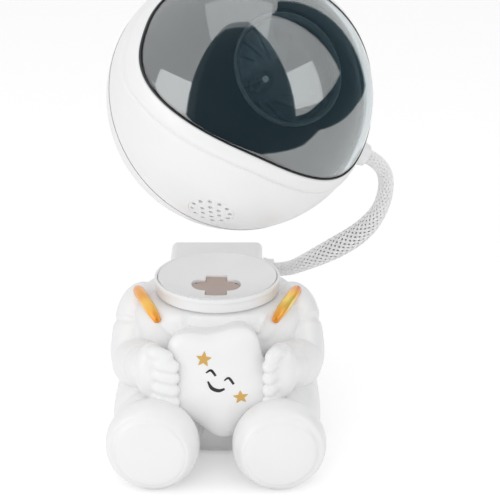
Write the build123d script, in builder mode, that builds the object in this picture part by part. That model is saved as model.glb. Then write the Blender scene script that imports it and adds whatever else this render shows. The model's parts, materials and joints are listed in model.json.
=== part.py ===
from build123d import *
import math
import os

# Star night light projector: a seated astronaut figure that hugs a star pillow.
# Its ball-shaped helmet holds the projector, sits on a magnetic dish and lifts
# off on a braided hose. +Z is up, the figure faces -Y, and the origin is the
# middle of the pad that the figure rests on. Left and right are as seen from
# the front. Millimetres.

os.makedirs("parts", exist_ok=True)

# ---------------------------------------------------------------- driving sizes
# figure
rim_height = 78.0            # top of the collar above the table
foot_height = 1.5            # underside of the plastic body above the table
wall = 2.4                   # wall of the body shells
shell_split_y = 2.0          # joint plane of the front and rear body shells
fit_gap = 0.15               # round loose pieces that sit in a seat
# collar and ball seat
dish_radius = 26.7           # mouth of the bowl at the rim
collar_lip_radius = 28.3
collar_wall_radius = 27.6
collar_lip_height = 3.0
collar_height = 6.0          # rim down to the figure's neck
collar_shadow_gap = 0.6
collar_rim_bevel = 0.6       # inner edge of the rim
collar_lip_bevel = 0.7       # outer edge of the rim
collar_lip_step = 0.2        # slope under the lip
ledge_height = 1.4           # ledge in the collar that the bowl sits on
ledge_width = 1.2
skirt_wall = 1.8             # ring under the bowl that stands on the neck
dish_wall = 1.6
seat_clearance = 0.5         # air between the seated ball and the bowl
cross_length_x = 21.5
cross_length_y = 20.0
cross_arm = 9.5
magnet_radius = 13.5
magnet_height = 5.0
magnet_plate_height = 1.2
cup_wall = 1.6               # cup that holds the magnet under the bowl
neck_hole_gap = 2.0          # room round the cup in the body's neck
# helmet
helmet_radius = 57.0
helmet_wall = 2.4
opening_half_width = 55.6    # as the face opening projects on the face plane
opening_half_height = 40.4
opening_power = 2.3
opening_root = 5.0           # its walls are cut from this far before the centre
lip_width_side = 0.9         # as it projects on the face plane
lip_width_top = 4.0
lip_proud = 0.7
seam_back = 16.5             # front and rear shells part behind the centre
seam_lean = 12.0             # degrees, the parting plane leans back at the top
visor_recess = 0.6
visor_thickness = 2.2
visor_flange_side = 0.7      # behind the shell, as it projects on the face plane
visor_flange_top = 2.0
mask_thickness = 1.5
lug_ring_radius = 49.5       # screw lugs inside the helmet
lug_radius = 4.5
lug_web_thickness = 3.0
lug_skin = 1.0               # the lugs stop this far inside the ball
lug_angles = (-20.0, -58.0, 200.0, 238.0)
lug_front = 2.0              # the front lugs start this far before the centre
screw_seat = 20.0            # the helmet screws' heads sit this far behind the centre
helmet_screw_length = 15.0
vent_count = 5               # cooling slots in the rear shell
vent_spacing = 6.0
vent_length = 18.0
vent_width = 2.4
vent_z = -18.0
# pose of the helmet as it hangs on its hose
helmet_lift = 32.0           # rise above the seated place
helmet_shift = 10.3          # sideways, towards the hose
facing = Vector(0.42, -0.7515, 0.5086)
ear = Vector(0.868, 0.169, -0.467)
# projector
lens_radius = 21.4
lens_ring_radius = 23.1
lens_ring_height = 3.6
lens_height = 7.0
lens_seat = 0.6              # the lens stands this far before the barrel
lens_edge = 1.2
ring_overlap = 0.8           # the ring's step under the lens, and its front bevel
ring_bevel_depth = 1.4
barrel_radius = 24.5
barrel_wall = 2.0
barrel_depth = 30.0
wheel_radius = 20.5
wheel_thickness = 1.4
wheel_depth = 14.0           # wheel behind the barrel's front edge
ripple_count = 16            # ribs of the wheel that spread the light into clouds
ripple_length = 12.0
ripple_width = 1.6
ripple_height = 0.5
ripple_angle = 25.0
hub_radius = 3.0
hub_height = 2.5
shaft_radius = 1.0
shaft_hole_gap = 0.5
running_gap = 0.05
motor_radius = 7.5
motor_length = 12.0
motor_bore_start = 4.0       # the shaft's bore begins this far into the motor
shaft_end_gap = 0.5
led_offset = 15.0
led_board_size = 13.0
led_board_thickness = 1.2
led_radius = 2.5
led_height = 2.0
led_window_radius = 4.0
heat_sink_depth = 12.0
heat_sink_base = 3.0
fin_pitch = 3.0
fin_gap = 1.4
fin_gap_count = 4
laser_offset = 14.0
laser_radius = 4.0
laser_length = 20.0
laser_reach = 4.0            # into the barrel
laser_bore_radius = 1.6
laser_bore_depth = 3.0
# grille and speaker at the ball's underside
grille_lean = 7.4            # degrees forward of the helmet's lowest point
grille_radius = 9.7
grille_depth = 1.5
grille_hole_radius = 0.85
grille_rings = ((0.0, 1), (4.0, 6), (8.0, 12))
speaker_radius = 13.0
speaker_magnet_radius = 8.0
speaker_depth = 12.0
speaker_rim_width = 1.5
speaker_rim_height = 2.5
speaker_cone_depth = 1.0
speaker_magnet_height = 4.0
catch_ring_radius = 20.0
catch_ring_thickness = 1.5
# hose and its end fittings
hose_radius = 4.0
wire_bore_inset = 0.5        # bore for the wires, inside the hose's radius
ear_hole_radius = 5.5
ferrule_flange_radius = 7.0
ferrule_flange_height = 2.0
ferrule_sleeve_radius = 5.0
ferrule_taper = 1.0          # the sleeve is this much wider at its root
ferrule_catch_gap = 1.2      # from the shell's inner face to the catch
ferrule_catch_width = 1.6
ferrule_catch_height = 1.8
gland_flange_radius = 5.6
gland_flange_height = 1.5
gland_y = 33.0
gland_below_rim = 11.0
gland_reach = 5.0            # sleeve past the backpack's side
hose_ear_straight = 8.0      # straight stretch out of each end fitting
hose_gland_straight = 6.5
hose_start_reach = 64.0      # hose starts this far from the helmet's centre
# backpack and buttons
pack_half_width = 21.0
pack_front = 10.0            # hidden in the body
pack_back = 44.0
pack_bottom = 28.0
pack_top_above_rim = 0.5
pack_corner = 6.0
pack_edge_share = 0.95       # back edges, against the corners
pack_wall = 2.0
button_radius = 4.0
button_flange_radius = 4.9
button_flange_thickness = 1.5
button_travel = 0.8
button_proud = 1.6
button_edge = 0.6
button_spacing = 11.2
button_mid_z = 50.0
button_board_depth = 5.0     # board behind the backpack's inner face
button_board_height = 31.0
button_board_width = 23.0
button_board_corner = 1.5
switch_size = 6.0
switch_stem_radius = 1.6
switch_height = 2.0
switch_gap = 0.1             # the switch closes this far before the button's stop
# arms and hands
arm_radius = 12.2
elbow_extra = 0.5
wrist_radius = 9.2
shoulder_at = (34.5, 0.0, 59.5)    # x is outwards
elbow_at = (35.2, -8.5, 50.0)
wrist_at = (28.5, -35.0, 52.5)
cuff_share = 0.8             # crease of the cuff, along the forearm
crease_radius = 0.7
finger_radius = 2.7
finger_spacing = 5.1
finger_count = 5             # the thumb and four fingers
hand_top_z = 62.6            # middle of the thumb
palm_x = 27.2
palm_y = -40.0
palm_extra = 1.6             # the palm's edge is this much thicker than a finger
knuckle_x = 25.5
knuckle_y = -42.5
tip_x = {-1: 18.6, 1: 22.6}  # the pillow leans towards the left hand
tip_y = -47.0
tip_drop = 0.6
# legs
leg_radius = 22.0
ankle_radius = 17.5
boot_radius = 20.5
leg_length = 66.0            # hip to the boot's toe
boot_length = 20.0
leg_splay = 4.0              # degrees outwards
leg_flat = 0.6               # flattened where the leg rests on the table
toe_round = 6.0
thigh_share = 0.55           # the thigh keeps its girth up to here
thigh_taper = 1.0
hip_x = 23.5
hip_y = 4.0
# star pillow
star_radius = 30.0           # to the corners before they are rounded
star_notch_radius = 21.5
star_tip_round = 6.0
star_notch_round = 18.0
star_side_height = 4.0       # the steep side, and the crown that domes it
star_side_taper = 12.0       # degrees
star_crown_height = 3.2
star_crown_taper = 48.0
star_post_radius = 7.0       # post that the pillow is glued on by
star_post_length = 13.0
star_turn = -23.0            # degrees, as seen from the front
star_centre = Vector(-1.0, -40.0, 48.5)
# backpack straps over the shoulders
strap_width = 4.2
strap_proud = 1.0
# base
cover_thickness = 3.4
pad_thickness = 2.0
pad_half_width = 26.0
pad_half_depth = 24.0
pad_centre_y = 5.0
screw_radius = 1.4
screw_head_radius = 2.7
screw_head_height = 1.6
boss_radius = 3.6
boss_height = 14.0
boss_web_length = 14.0
boss_bore_stop = 2.0         # solid top of a boss
screw_end_gap = 2.0          # from the screw's tip to the bottom of its bore
# electronics in the body
board_length = 34.0
board_width = 26.0
board_mid_y = 19.0
board_corner = 1.5
board_post_span = (26.0, 14.0)
board_stand = 10.0           # main board above the cover
chips = ((-7.0, 16.0, 9.0, 9.0), (7.0, 18.0, 6.0, 5.0))    # x, y, length, width
coil_place = (8.0, 11.0)
coil_radius = 3.0
chip_height = 1.4
ballast_length = 30.0
ballast_width = 22.0
ballast_height = 6.0
ballast_corner = 2.0
ballast_y = -7.0
post_radius = 2.5
board_thickness = 1.6
usb_width = 9.0
usb_height = 3.3
usb_depth = 7.5
usb_corner = 1.3
usb_wall = 0.35
usb_back = 1.0
usb_tongue_width = 6.6
usb_tongue_height = 0.7
usb_face_y = 38.0            # the socket's mouth, inside the shell's hole

# ------------------------------------------------------------- derived places
neck_z = rim_height - collar_height
bowl_radius = helmet_radius + seat_clearance
bowl_centre_z = rim_height + math.sqrt(bowl_radius**2 - dish_radius**2)
bowl_back_radius = bowl_radius + dish_wall
helmet_inner = helmet_radius - helmet_wall
helmet_centre = Vector(helmet_shift, 0, bowl_centre_z + helmet_lift)
face_dir = facing.normalized()
ear_dir = (ear - face_dir * ear.dot(face_dir)).normalized()
up_dir = face_dir.cross(ear_dir)
helmet_place = Location(Plane(origin=helmet_centre, x_dir=ear_dir, z_dir=up_dir))
pack_top = rim_height + pack_top_above_rim
cup_radius = magnet_radius + cup_wall
neck_hole_radius = cup_radius + neck_hole_gap
cover_top = foot_height + cover_thickness
side_names = {-1: "left", 1: "right"}

# Torso sections: height, half width, half depth, centre y.
torso_power = 2.5            # 2 is an ellipse, more is boxier
torso_sections = (
    (foot_height, 31.0, 29.0, 5.0),
    (16.0, 36.0, 34.0, 4.0),
    (34.0, 36.0, 32.5, 2.0),
    (50.0, 36.0, 31.0, 0.0),
    (61.0, 37.5, 31.0, 0.0),
    (68.0, 36.0, 30.0, 0.0),
    (neck_z, 29.5, 28.8, 0.0),
)
screw_places = [(22.0, 20.0), (-22.0, 20.0), (22.0, -10.0), (-22.0, -10.0)]


def superellipse(half_width, half_height, power, centre=(0, 0), count=24):
    """Points of |x/a|^n + |y/b|^n = 1, for a closed spline."""
    points = []
    for step in range(count):
        angle = 2 * math.pi * step / count
        x, y = math.cos(angle), math.sin(angle)
        points.append(
            (
                centre[0] + half_width * math.copysign(abs(x) ** (2 / power), x),
                centre[1] + half_height * math.copysign(abs(y) ** (2 / power), y),
            )
        )
    return points


# ------------------------------------------------------------ forms of the body
def torso_form(grow=0.0):
    """The torso as one solid, its sides moved out by grow, or in if negative."""
    with BuildPart() as form:
        for height, half_width, half_depth, centre_y in torso_sections:
            level = height + min(grow, 0.0) if height == neck_z else height
            with BuildSketch(Plane.XY.offset(level)):
                with BuildLine():
                    a, b = half_width + grow, half_depth + grow
                    Spline(*superellipse(a, b, torso_power, (0, centre_y)), periodic=True)
                make_face()
        loft()
    return form.part


def rod(start, end, radius):
    """Round bar with ball ends."""
    with BuildPart() as bar:
        with BuildSketch(Plane(origin=start, z_dir=end - start)):
            Circle(radius)
        extrude(amount=(end - start).length)
        with Locations(start, end):
            Sphere(radius)
    return bar.part


def on_side(place, side):
    """A place given for the right, on either side."""
    return Vector(place[0] * side, place[1], place[2])


def cuff_crease(side):
    """Ring-shaped groove round the forearm, where the sleeve meets the glove."""
    elbow, wrist = on_side(elbow_at, side), on_side(wrist_at, side)
    elbow_radius = arm_radius + elbow_extra
    middle = elbow + (wrist - elbow) * cuff_share
    with BuildPart() as groove:
        with Locations(Plane(origin=middle, z_dir=wrist - elbow)):
            Torus(elbow_radius + (wrist_radius - elbow_radius) * cuff_share, crease_radius)
    return groove.part


def sleeve_form(side, grow=0.0):
    """Padded sleeve from the shoulder over the elbow to the wrist."""
    shoulder, elbow, wrist = (on_side(place, side) for place in (shoulder_at, elbow_at, wrist_at))
    top_radius = arm_radius + grow
    elbow_radius = top_radius + elbow_extra
    cuff_radius = wrist_radius + grow
    with BuildPart() as sleeve:
        for start, end, start_radius, end_radius in (
            (shoulder, elbow, top_radius, elbow_radius),
            (elbow, wrist, elbow_radius, cuff_radius),
        ):
            with BuildSketch(Plane(origin=start, z_dir=end - start)):
                Circle(start_radius)
            with BuildSketch(Plane(origin=end, z_dir=end - start)):
                Circle(end_radius)
            loft()
        with Locations(shoulder):
            Sphere(top_radius)
        with Locations(elbow):
            Sphere(elbow_radius)
        with Locations(wrist):
            Sphere(cuff_radius)
    return sleeve.part


def star_form():
    """Puffy five-pointed star: steep sides under domed crowns, front and back."""
    plane = Plane(origin=star_centre, x_dir=(1, 0, 0), z_dir=(0, -1, 0))
    corners = []
    for step in range(10):
        reach = star_radius if step % 2 == 0 else star_notch_radius
        angle = math.radians(90 + star_turn + 36 * step)
        corners.append((reach * math.cos(angle), reach * math.sin(angle)))
    with BuildPart() as star:
        with BuildSketch(plane):
            with BuildLine():
                Polyline(*corners, close=True)
            make_face()
            fillet(vertices().sort_by_distance((0, 0, 0))[:5], radius=star_notch_round)
            fillet(vertices().sort_by_distance((0, 0, 0))[-5:], radius=star_tip_round)
        extrude(amount=star_side_height, both=True, taper=star_side_taper)
        for face in (star.faces().sort_by(Axis.Y)[0], star.faces().sort_by(Axis.Y)[-1]):
            extrude(face, amount=star_crown_height, taper=star_crown_taper)
    return star.part


def leg_form(side):
    """Seated leg with its boot, round about an axis that points forward."""
    hip = Vector(hip_x * side, hip_y, leg_radius - leg_flat)
    splay = math.radians(leg_splay)
    along = Vector(side * math.sin(splay), -math.cos(splay), 0)
    ankle_at = leg_length - boot_length
    toe_radius = boot_radius - toe_round
    with BuildPart() as leg:
        with BuildSketch(Plane(origin=hip, x_dir=along, z_dir=(0, 0, 1))):
            with BuildLine():
                Polyline((leg_length, 0), (-leg_radius, 0))
                Spline(
                    (-leg_radius, 0),
                    (0, leg_radius),
                    (ankle_at * thigh_share, leg_radius - thigh_taper),
                    (ankle_at, ankle_radius),
                    tangents=[(0, 1), (0.7, -1)],
                )
                Spline(
                    (ankle_at, ankle_radius),
                    (leg_length - boot_length / 2, boot_radius),
                    (leg_length, toe_radius),
                    tangents=[(0.3, 1), (0, -1)],
                )
                Line((leg_length, toe_radius), (leg_length, 0))
            make_face()
        revolve(axis=Axis(hip, along))
        with BuildSketch(Plane.XY):
            Rectangle(300, 300)
        extrude(amount=-50, mode=Mode.SUBTRACT)
    return leg.part


def foot_outline(inset=0.0):
    """Outline of the torso's lower rim, moved in by inset."""
    _, half_width, half_depth, centre_y = torso_sections[0]
    a, b = half_width - inset, half_depth - inset
    return superellipse(a, b, torso_power, (0, centre_y))


torso_outside = torso_form()
torso_hollow = torso_form(-wall)
star_outside = star_form()


# ----------------------------------------------------------------- torso shells
with BuildPart() as boss_posts:
    with BuildSketch(Plane.XY.offset(foot_height)):
        with Locations(*screw_places):
            Circle(boss_radius)
        for x, y in screw_places:
            outwards = Align.MIN if x > 0 else Align.MAX
            with Locations((x, y)):
                Rectangle(boss_web_length, wall, align=(outwards, Align.CENTER))
    extrude(amount=boss_height)
    with BuildSketch(Plane.XY.offset(foot_height)):
        with Locations(*screw_places):
            Circle(screw_radius)
    extrude(amount=boss_height - boss_bore_stop, mode=Mode.SUBTRACT)
    add(torso_outside, mode=Mode.INTERSECT)


def torso_shell(keep):
    """Front or rear half of the hollow torso, with its screw bosses."""
    with BuildPart() as shell:
        add(torso_outside)
        add(torso_hollow, mode=Mode.SUBTRACT)
        add(boss_posts.part)
        with BuildSketch(Plane.XY.offset(foot_height)):
            with BuildLine():
                Spline(*foot_outline(wall), periodic=True)
            make_face()
        extrude(amount=cover_thickness, mode=Mode.SUBTRACT)
        with BuildSketch(Plane.XY.offset(neck_z)):
            Circle(neck_hole_radius)
        extrude(amount=-2 * wall, mode=Mode.SUBTRACT)
        split(bisect_by=Plane.XZ.offset(-shell_split_y), keep=keep)
    return shell


torso_front = torso_shell(Keep.TOP)
torso_front.part.label = "torso_front_shell"
export_step(torso_front.part, "parts/torso_front_shell.step")

usb_z = cover_top + board_stand + board_thickness
with BuildPart() as torso_rear:
    add(torso_shell(Keep.BOTTOM).part)
    with BuildSketch(Plane.XZ.offset(-pack_back)):
        with Locations((0, usb_z + usb_height / 2)):
            RectangleRounded(usb_width + 2 * fit_gap, usb_height + 2 * fit_gap, usb_corner + fit_gap)
    extrude(amount=pack_back - shell_split_y - wall, mode=Mode.SUBTRACT)
torso_rear.part.label = "torso_rear_shell"
export_step(torso_rear.part, "parts/torso_rear_shell.step")


# ------------------------------------------------------------------------- arms
def hand_form(side):
    """Palm edge, thumb and four fingers that curl round the star from one side."""
    with BuildPart() as hand:
        palm_top = Vector(palm_x * side, palm_y, hand_top_z - finger_radius)
        palm_foot = Vector(palm_x * side, palm_y, hand_top_z - (finger_count - 1) * finger_spacing)
        add(rod(palm_top, palm_foot, finger_radius + palm_extra))
        for row in range(finger_count):
            height = hand_top_z - row * finger_spacing
            start = Vector(knuckle_x * side, knuckle_y, height)
            end = Vector(tip_x[side] * side, tip_y, height - tip_drop)
            add(rod(start, end, finger_radius))
    return hand.part


arms = {}
for side, name in side_names.items():
    with BuildPart() as arm:
        add(sleeve_form(side))
        add(cuff_crease(side), mode=Mode.SUBTRACT)
        add(hand_form(side))
        add(torso_outside, mode=Mode.SUBTRACT)
        add(star_outside, mode=Mode.SUBTRACT)
    arm.part.label = f"{name}_arm"
    export_step(arm.part, f"parts/{name}_arm.step")
    arms[side] = arm.part


# ------------------------------------------------------------------------- legs
for side, name in side_names.items():
    with BuildPart() as leg:
        add(leg_form(side))
        add(torso_outside, mode=Mode.SUBTRACT)
        add(star_outside, mode=Mode.SUBTRACT)
        add(arms[side], mode=Mode.SUBTRACT)
        with BuildSketch(Plane.XY):
            with BuildLine():
                Spline(*foot_outline(), periodic=True)
            make_face()
        extrude(amount=foot_height, mode=Mode.SUBTRACT)
    leg.part.label = f"{name}_leg"
    export_step(leg.part, f"parts/{name}_leg.step")


# ------------------------------------------------------------------ star pillow
with BuildPart() as star_pillow:
    add(star_outside)
    with BuildSketch(Plane(origin=star_centre, x_dir=(1, 0, 0), z_dir=(0, -1, 0))):
        Circle(star_post_radius)
    extrude(amount=-star_post_length)
    add(torso_outside, mode=Mode.SUBTRACT)
star_pillow.part.label = "star_pillow"
export_step(star_pillow.part, "parts/star_pillow.step")


# --------------------------------------------------------------- shoulder straps
def pack_block(inset, top):
    """The backpack as a solid block with round back edges, moved in by inset."""
    corner = pack_corner - inset
    height = top - inset - (pack_bottom + inset)
    with BuildPart() as block:
        with BuildSketch(Plane.XZ.offset(-pack_front)):
            with Locations((0, pack_bottom + inset + height / 2)):
                RectangleRounded(2 * (pack_half_width - inset), height, corner)
        extrude(amount=-(pack_back - inset - pack_front))
        fillet(block.faces().sort_by(Axis.Y)[-1].edges(), radius=corner * pack_edge_share)
    return block.part


torso_with_strap = torso_form(strap_proud)
for side, name in side_names.items():
    with BuildPart() as shoulder_skin:
        add(torso_with_strap)
        add(sleeve_form(side, strap_proud))
    with BuildPart() as strap:
        with BuildSketch(Plane.XY.offset(neck_z - 12)):
            with BuildLine() as strap_line:
                ThreePointArc((20.5 * side, 25.0), (33.0 * side, 3.0), (23.5 * side, -27.0))
            SlotArc(arc=strap_line.edge(), height=strap_width)
        extrude(amount=12)
        add(shoulder_skin.part, mode=Mode.INTERSECT)
        add(torso_outside, mode=Mode.SUBTRACT)
        add(arms[side], mode=Mode.SUBTRACT)
        add(pack_block(0, pack_top), mode=Mode.SUBTRACT)
    strap.part.label = f"{name}_shoulder_strap"
    export_step(strap.part, f"parts/{name}_shoulder_strap.step")


# ---------------------------------------------------------------- collar and seat
with BuildPart() as collar_ring:
    with BuildSketch(Plane.XZ):
        with BuildLine():
            inner = dish_radius + running_gap
            lip_z = rim_height - collar_lip_height
            foot_z = neck_z + collar_shadow_gap
            ledge_z = neck_z + ledge_height
            Polyline(
                (inner, ledge_z),
                (inner, rim_height - collar_rim_bevel),
                (inner + collar_rim_bevel, rim_height),
                (collar_lip_radius - collar_lip_bevel, rim_height),
                (collar_lip_radius, rim_height - collar_lip_bevel),
                (collar_lip_radius, lip_z + 2 * collar_lip_step),
                (collar_wall_radius, lip_z - collar_lip_step),
                (collar_wall_radius, foot_z),
                (inner, foot_z),
                (inner, neck_z),
                (inner - ledge_width, neck_z),
                (inner - ledge_width, ledge_z),
                close=True,
            )
        make_face()
    revolve(axis=Axis.Z)
collar_ring.part.label = "collar_ring"
export_step(collar_ring.part, "parts/collar_ring.step")


def bowl_z(radius, from_axis):
    """Height of a ball about the bowl's centre, at a distance from the axis."""
    return bowl_centre_z - math.sqrt(radius**2 - from_axis**2)


def ball(radius):
    """Ball about the bowl's centre."""
    with BuildPart() as round_form:
        with Locations((0, 0, bowl_centre_z)):
            Sphere(radius)
    return round_form.part


skirt_radius = dish_radius - ledge_width
skirt_inner = skirt_radius - skirt_wall
with BuildPart() as seat_dish:
    with BuildSketch(Plane.XZ):
        with BuildLine():
            ThreePointArc(
                (0, bowl_z(bowl_radius, 0)),
                (dish_radius / 2, bowl_z(bowl_radius, dish_radius / 2)),
                (dish_radius, rim_height),
            )
            Polyline(
                (dish_radius, rim_height),
                (dish_radius, neck_z + ledge_height),
                (skirt_radius, neck_z + ledge_height),
                (skirt_radius, neck_z),
                (skirt_inner, neck_z),
                (skirt_inner, bowl_z(bowl_back_radius, skirt_inner)),
            )
            ThreePointArc(
                (skirt_inner, bowl_z(bowl_back_radius, skirt_inner)),
                (skirt_inner / 2, bowl_z(bowl_back_radius, skirt_inner / 2)),
                (0, bowl_z(bowl_back_radius, 0)),
            )
            Line((0, bowl_z(bowl_back_radius, 0)), (0, bowl_z(bowl_radius, 0)))
        make_face()
    revolve(axis=Axis.Z)
    # cross window over the magnet: round ends at the sides, flat front and back
    with BuildSketch(Plane.XY.offset(neck_z - collar_height)):
        SlotOverall(cross_length_x, cross_arm)
        Rectangle(cross_arm, cross_length_y)
    extrude(amount=2 * collar_height, mode=Mode.SUBTRACT)
seat_dish.part.label = "seat_dish"
export_step(seat_dish.part, "parts/seat_dish.step")

plate_foot = bowl_z(bowl_back_radius, 0) - magnet_plate_height
magnet_foot = plate_foot - magnet_height
with BuildPart() as magnet_plate:
    with BuildSketch(Plane.XY.offset(plate_foot)):
        Circle(magnet_radius)
    extrude(amount=2 * magnet_plate_height + dish_wall)
    add(ball(bowl_back_radius), mode=Mode.SUBTRACT)
magnet_plate.part.label = "magnet_plate"
export_step(magnet_plate.part, "parts/magnet_plate.step")

with BuildPart() as magnet:
    with BuildSketch(Plane.XY.offset(magnet_foot)):
        Circle(magnet_radius)
    extrude(amount=magnet_height)
magnet.part.label = "magnet"
export_step(magnet.part, "parts/magnet.step")

with BuildPart() as magnet_holder:
    with BuildSketch(Plane.XY.offset(magnet_foot - cup_wall)):
        Circle(cup_radius)
    extrude(amount=magnet_height + magnet_plate_height + collar_height)
    with BuildSketch(Plane.XY.offset(magnet_foot)):
        Circle(magnet_radius)
    extrude(amount=magnet_height + magnet_plate_height + collar_height, mode=Mode.SUBTRACT)
    add(ball(bowl_back_radius), mode=Mode.SUBTRACT)
magnet_holder.part.label = "magnet_holder"
export_step(magnet_holder.part, "parts/magnet_holder.step")


# ------------------------------------------------------------ backpack and buttons
button_heights = [button_mid_z + step * button_spacing for step in (1, 0, -1)]
button_names = ("power_button", "star_button", "nebula_button")
inner_back = pack_back - pack_wall
button_board_y = inner_back - button_board_depth
post_x = button_board_width / 2 - post_radius
post_dz = button_board_height / 2 - post_radius
board_posts = [(x, button_mid_z + dz) for x in (-post_x, post_x) for dz in (-post_dz, post_dz)]
gland_z = rim_height - gland_below_rim

with BuildPart() as backpack:
    add(pack_block(0, pack_top))
    add(pack_block(pack_wall, neck_z), mode=Mode.SUBTRACT)
    with BuildSketch(Plane.XZ.offset(-inner_back)):
        with Locations(*board_posts):
            Circle(post_radius)
    extrude(amount=inner_back - button_board_y)
    add(torso_outside, mode=Mode.SUBTRACT)
    with BuildSketch(Plane.XY.offset(neck_z)):
        Circle(collar_lip_radius + fit_gap)
    extrude(amount=collar_height * 2, mode=Mode.SUBTRACT)
    with BuildSketch(Plane.XZ.offset(-pack_back)):
        with Locations(*[(0, height) for height in button_heights]):
            Circle(button_radius + running_gap)
    extrude(amount=pack_wall, mode=Mode.SUBTRACT)
    with BuildSketch(Plane.YZ.offset(pack_half_width)):
        with Locations((gland_y, gland_z)):
            Circle(hose_radius - wire_bore_inset)
    extrude(amount=-2 * pack_wall, mode=Mode.SUBTRACT)
backpack.part.label = "backpack"
export_step(backpack.part, "parts/backpack.step")

flange_front = inner_back - running_gap
for height, name in zip(button_heights, button_names):
    with BuildPart() as button:
        with BuildSketch(Plane.XZ.offset(-flange_front)):
            with Locations((0, height)):
                Circle(button_flange_radius)
        extrude(amount=button_flange_thickness)
        with BuildSketch(Plane.XZ.offset(-flange_front)):
            with Locations((0, height)):
                Circle(button_radius)
        extrude(amount=-(pack_back + button_proud - flange_front))
        fillet(button.faces().sort_by(Axis.Y)[-1].edges(), radius=button_edge)
    button.part.label = name
    export_step(button.part, f"parts/{name}.step")

stem_top = flange_front - button_flange_thickness - button_travel - switch_gap
with BuildPart() as button_board:
    with BuildSketch(Plane.XZ.offset(-button_board_y)):
        with Locations((0, button_mid_z)):
            RectangleRounded(button_board_width, button_board_height, button_board_corner)
    extrude(amount=board_thickness)
    with BuildSketch(Plane.XZ.offset(-button_board_y)):
        with Locations(*[(0, height) for height in button_heights]):
            Rectangle(switch_size, switch_size)
    extrude(amount=-switch_height)
    with BuildSketch(Plane.XZ.offset(-button_board_y - switch_height)):
        with Locations(*[(0, height) for height in button_heights]):
            Circle(switch_stem_radius)
    extrude(amount=-(stem_top - button_board_y - switch_height))
button_board.part.label = "button_board"
export_step(button_board.part, "parts/button_board.step")


# ------------------------------------------------------------- base and its inside
with BuildPart() as base_cover:
    with BuildSketch(Plane.XY.offset(foot_height)):
        with BuildLine():
            Spline(*foot_outline(wall + fit_gap), periodic=True)
        make_face()
    extrude(amount=cover_thickness)
    with BuildSketch(Plane.XY.offset(cover_top)):
        with Locations((0, board_mid_y)):
            with GridLocations(*board_post_span, 2, 2):
                Circle(post_radius)
    extrude(amount=board_stand)
    with BuildSketch(Plane.XY.offset(foot_height)):
        with BuildLine():
            a, b = pad_half_width + fit_gap, pad_half_depth + fit_gap
            Spline(*superellipse(a, b, torso_power, (0, pad_centre_y)), periodic=True)
        make_face()
    extrude(amount=pad_thickness - foot_height, mode=Mode.SUBTRACT)
    with Locations(*[(x, y, pad_thickness) for x, y in screw_places]):
        with Locations(Location((0, 0, 0), (180, 0, 0))):
            CounterBoreHole(screw_radius, screw_head_radius, screw_head_height)
base_cover.part.label = "base_cover"
export_step(base_cover.part, "parts/base_cover.step")

with BuildPart() as base_pad:
    with BuildSketch(Plane.XY):
        with BuildLine():
            a, b = pad_half_width, pad_half_depth
            Spline(*superellipse(a, b, torso_power, (0, pad_centre_y)), periodic=True)
        make_face()
    extrude(amount=pad_thickness)
base_pad.part.label = "base_pad"
export_step(base_pad.part, "parts/base_pad.step")

with BuildPart() as base_screws:
    with BuildSketch(Plane.XY.offset(pad_thickness)):
        with Locations(*screw_places):
            Circle(screw_head_radius)
    extrude(amount=screw_head_height)
    with BuildSketch(Plane.XY.offset(pad_thickness)):
        with Locations(*screw_places):
            Circle(screw_radius)
    extrude(amount=boss_height - boss_bore_stop - screw_end_gap)
base_screws.part.label = "base_screws"
export_step(base_screws.part, "parts/base_screws.step")

with BuildPart() as ballast_plate:
    with BuildSketch(Plane.XY.offset(cover_top)):
        with Locations((0, ballast_y)):
            RectangleRounded(ballast_length, ballast_width, ballast_corner)
    extrude(amount=ballast_height)
ballast_plate.part.label = "ballast_plate"
export_step(ballast_plate.part, "parts/ballast_plate.step")

board_z = cover_top + board_stand
with BuildPart() as main_board:
    with BuildSketch(Plane.XY.offset(board_z)):
        with Locations((0, board_mid_y)):
            RectangleRounded(board_length, board_width, board_corner)
    extrude(amount=board_thickness)
    # controller, flash and coil
    with BuildSketch(Plane.XY.offset(board_z + board_thickness)):
        for x, y, length, width in chips:
            with Locations((x, y)):
                Rectangle(length, width)
        with Locations(coil_place):
            Circle(coil_radius)
    extrude(amount=chip_height)
main_board.part.label = "main_board"
export_step(main_board.part, "parts/main_board.step")

with BuildPart() as usb_socket:
    with BuildSketch(Plane.XZ.offset(-usb_face_y)):
        with Locations((0, usb_z + usb_height / 2)):
            RectangleRounded(usb_width, usb_height, usb_corner)
    extrude(amount=usb_depth)
    with BuildSketch(Plane.XZ.offset(-usb_face_y)):
        with Locations((0, usb_z + usb_height / 2)):
            inside_width, inside_height = usb_width - 2 * usb_wall, usb_height - 2 * usb_wall
            RectangleRounded(inside_width, inside_height, usb_corner - usb_wall)
    extrude(amount=usb_depth - usb_back, mode=Mode.SUBTRACT)
    with BuildSketch(Plane.XZ.offset(-(usb_face_y - usb_back))):
        with Locations((0, usb_z + usb_height / 2)):
            Rectangle(usb_tongue_width, usb_tongue_height)
    extrude(amount=usb_depth - usb_back)
usb_socket.part.label = "usb_socket"
export_step(usb_socket.part, "parts/usb_socket.step")


# ----------------------------------------------------------------- helmet shells
# The helmet is drawn about its own centre, with its face towards -Y and its
# ears on X, and then put in its place.
def export_on_helmet(piece, name):
    """Put a helmet piece in its place on the figure and write it."""
    placed = piece.part.moved(helmet_place)
    placed.label = name
    export_step(placed, f"parts/{name}.step")


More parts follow.
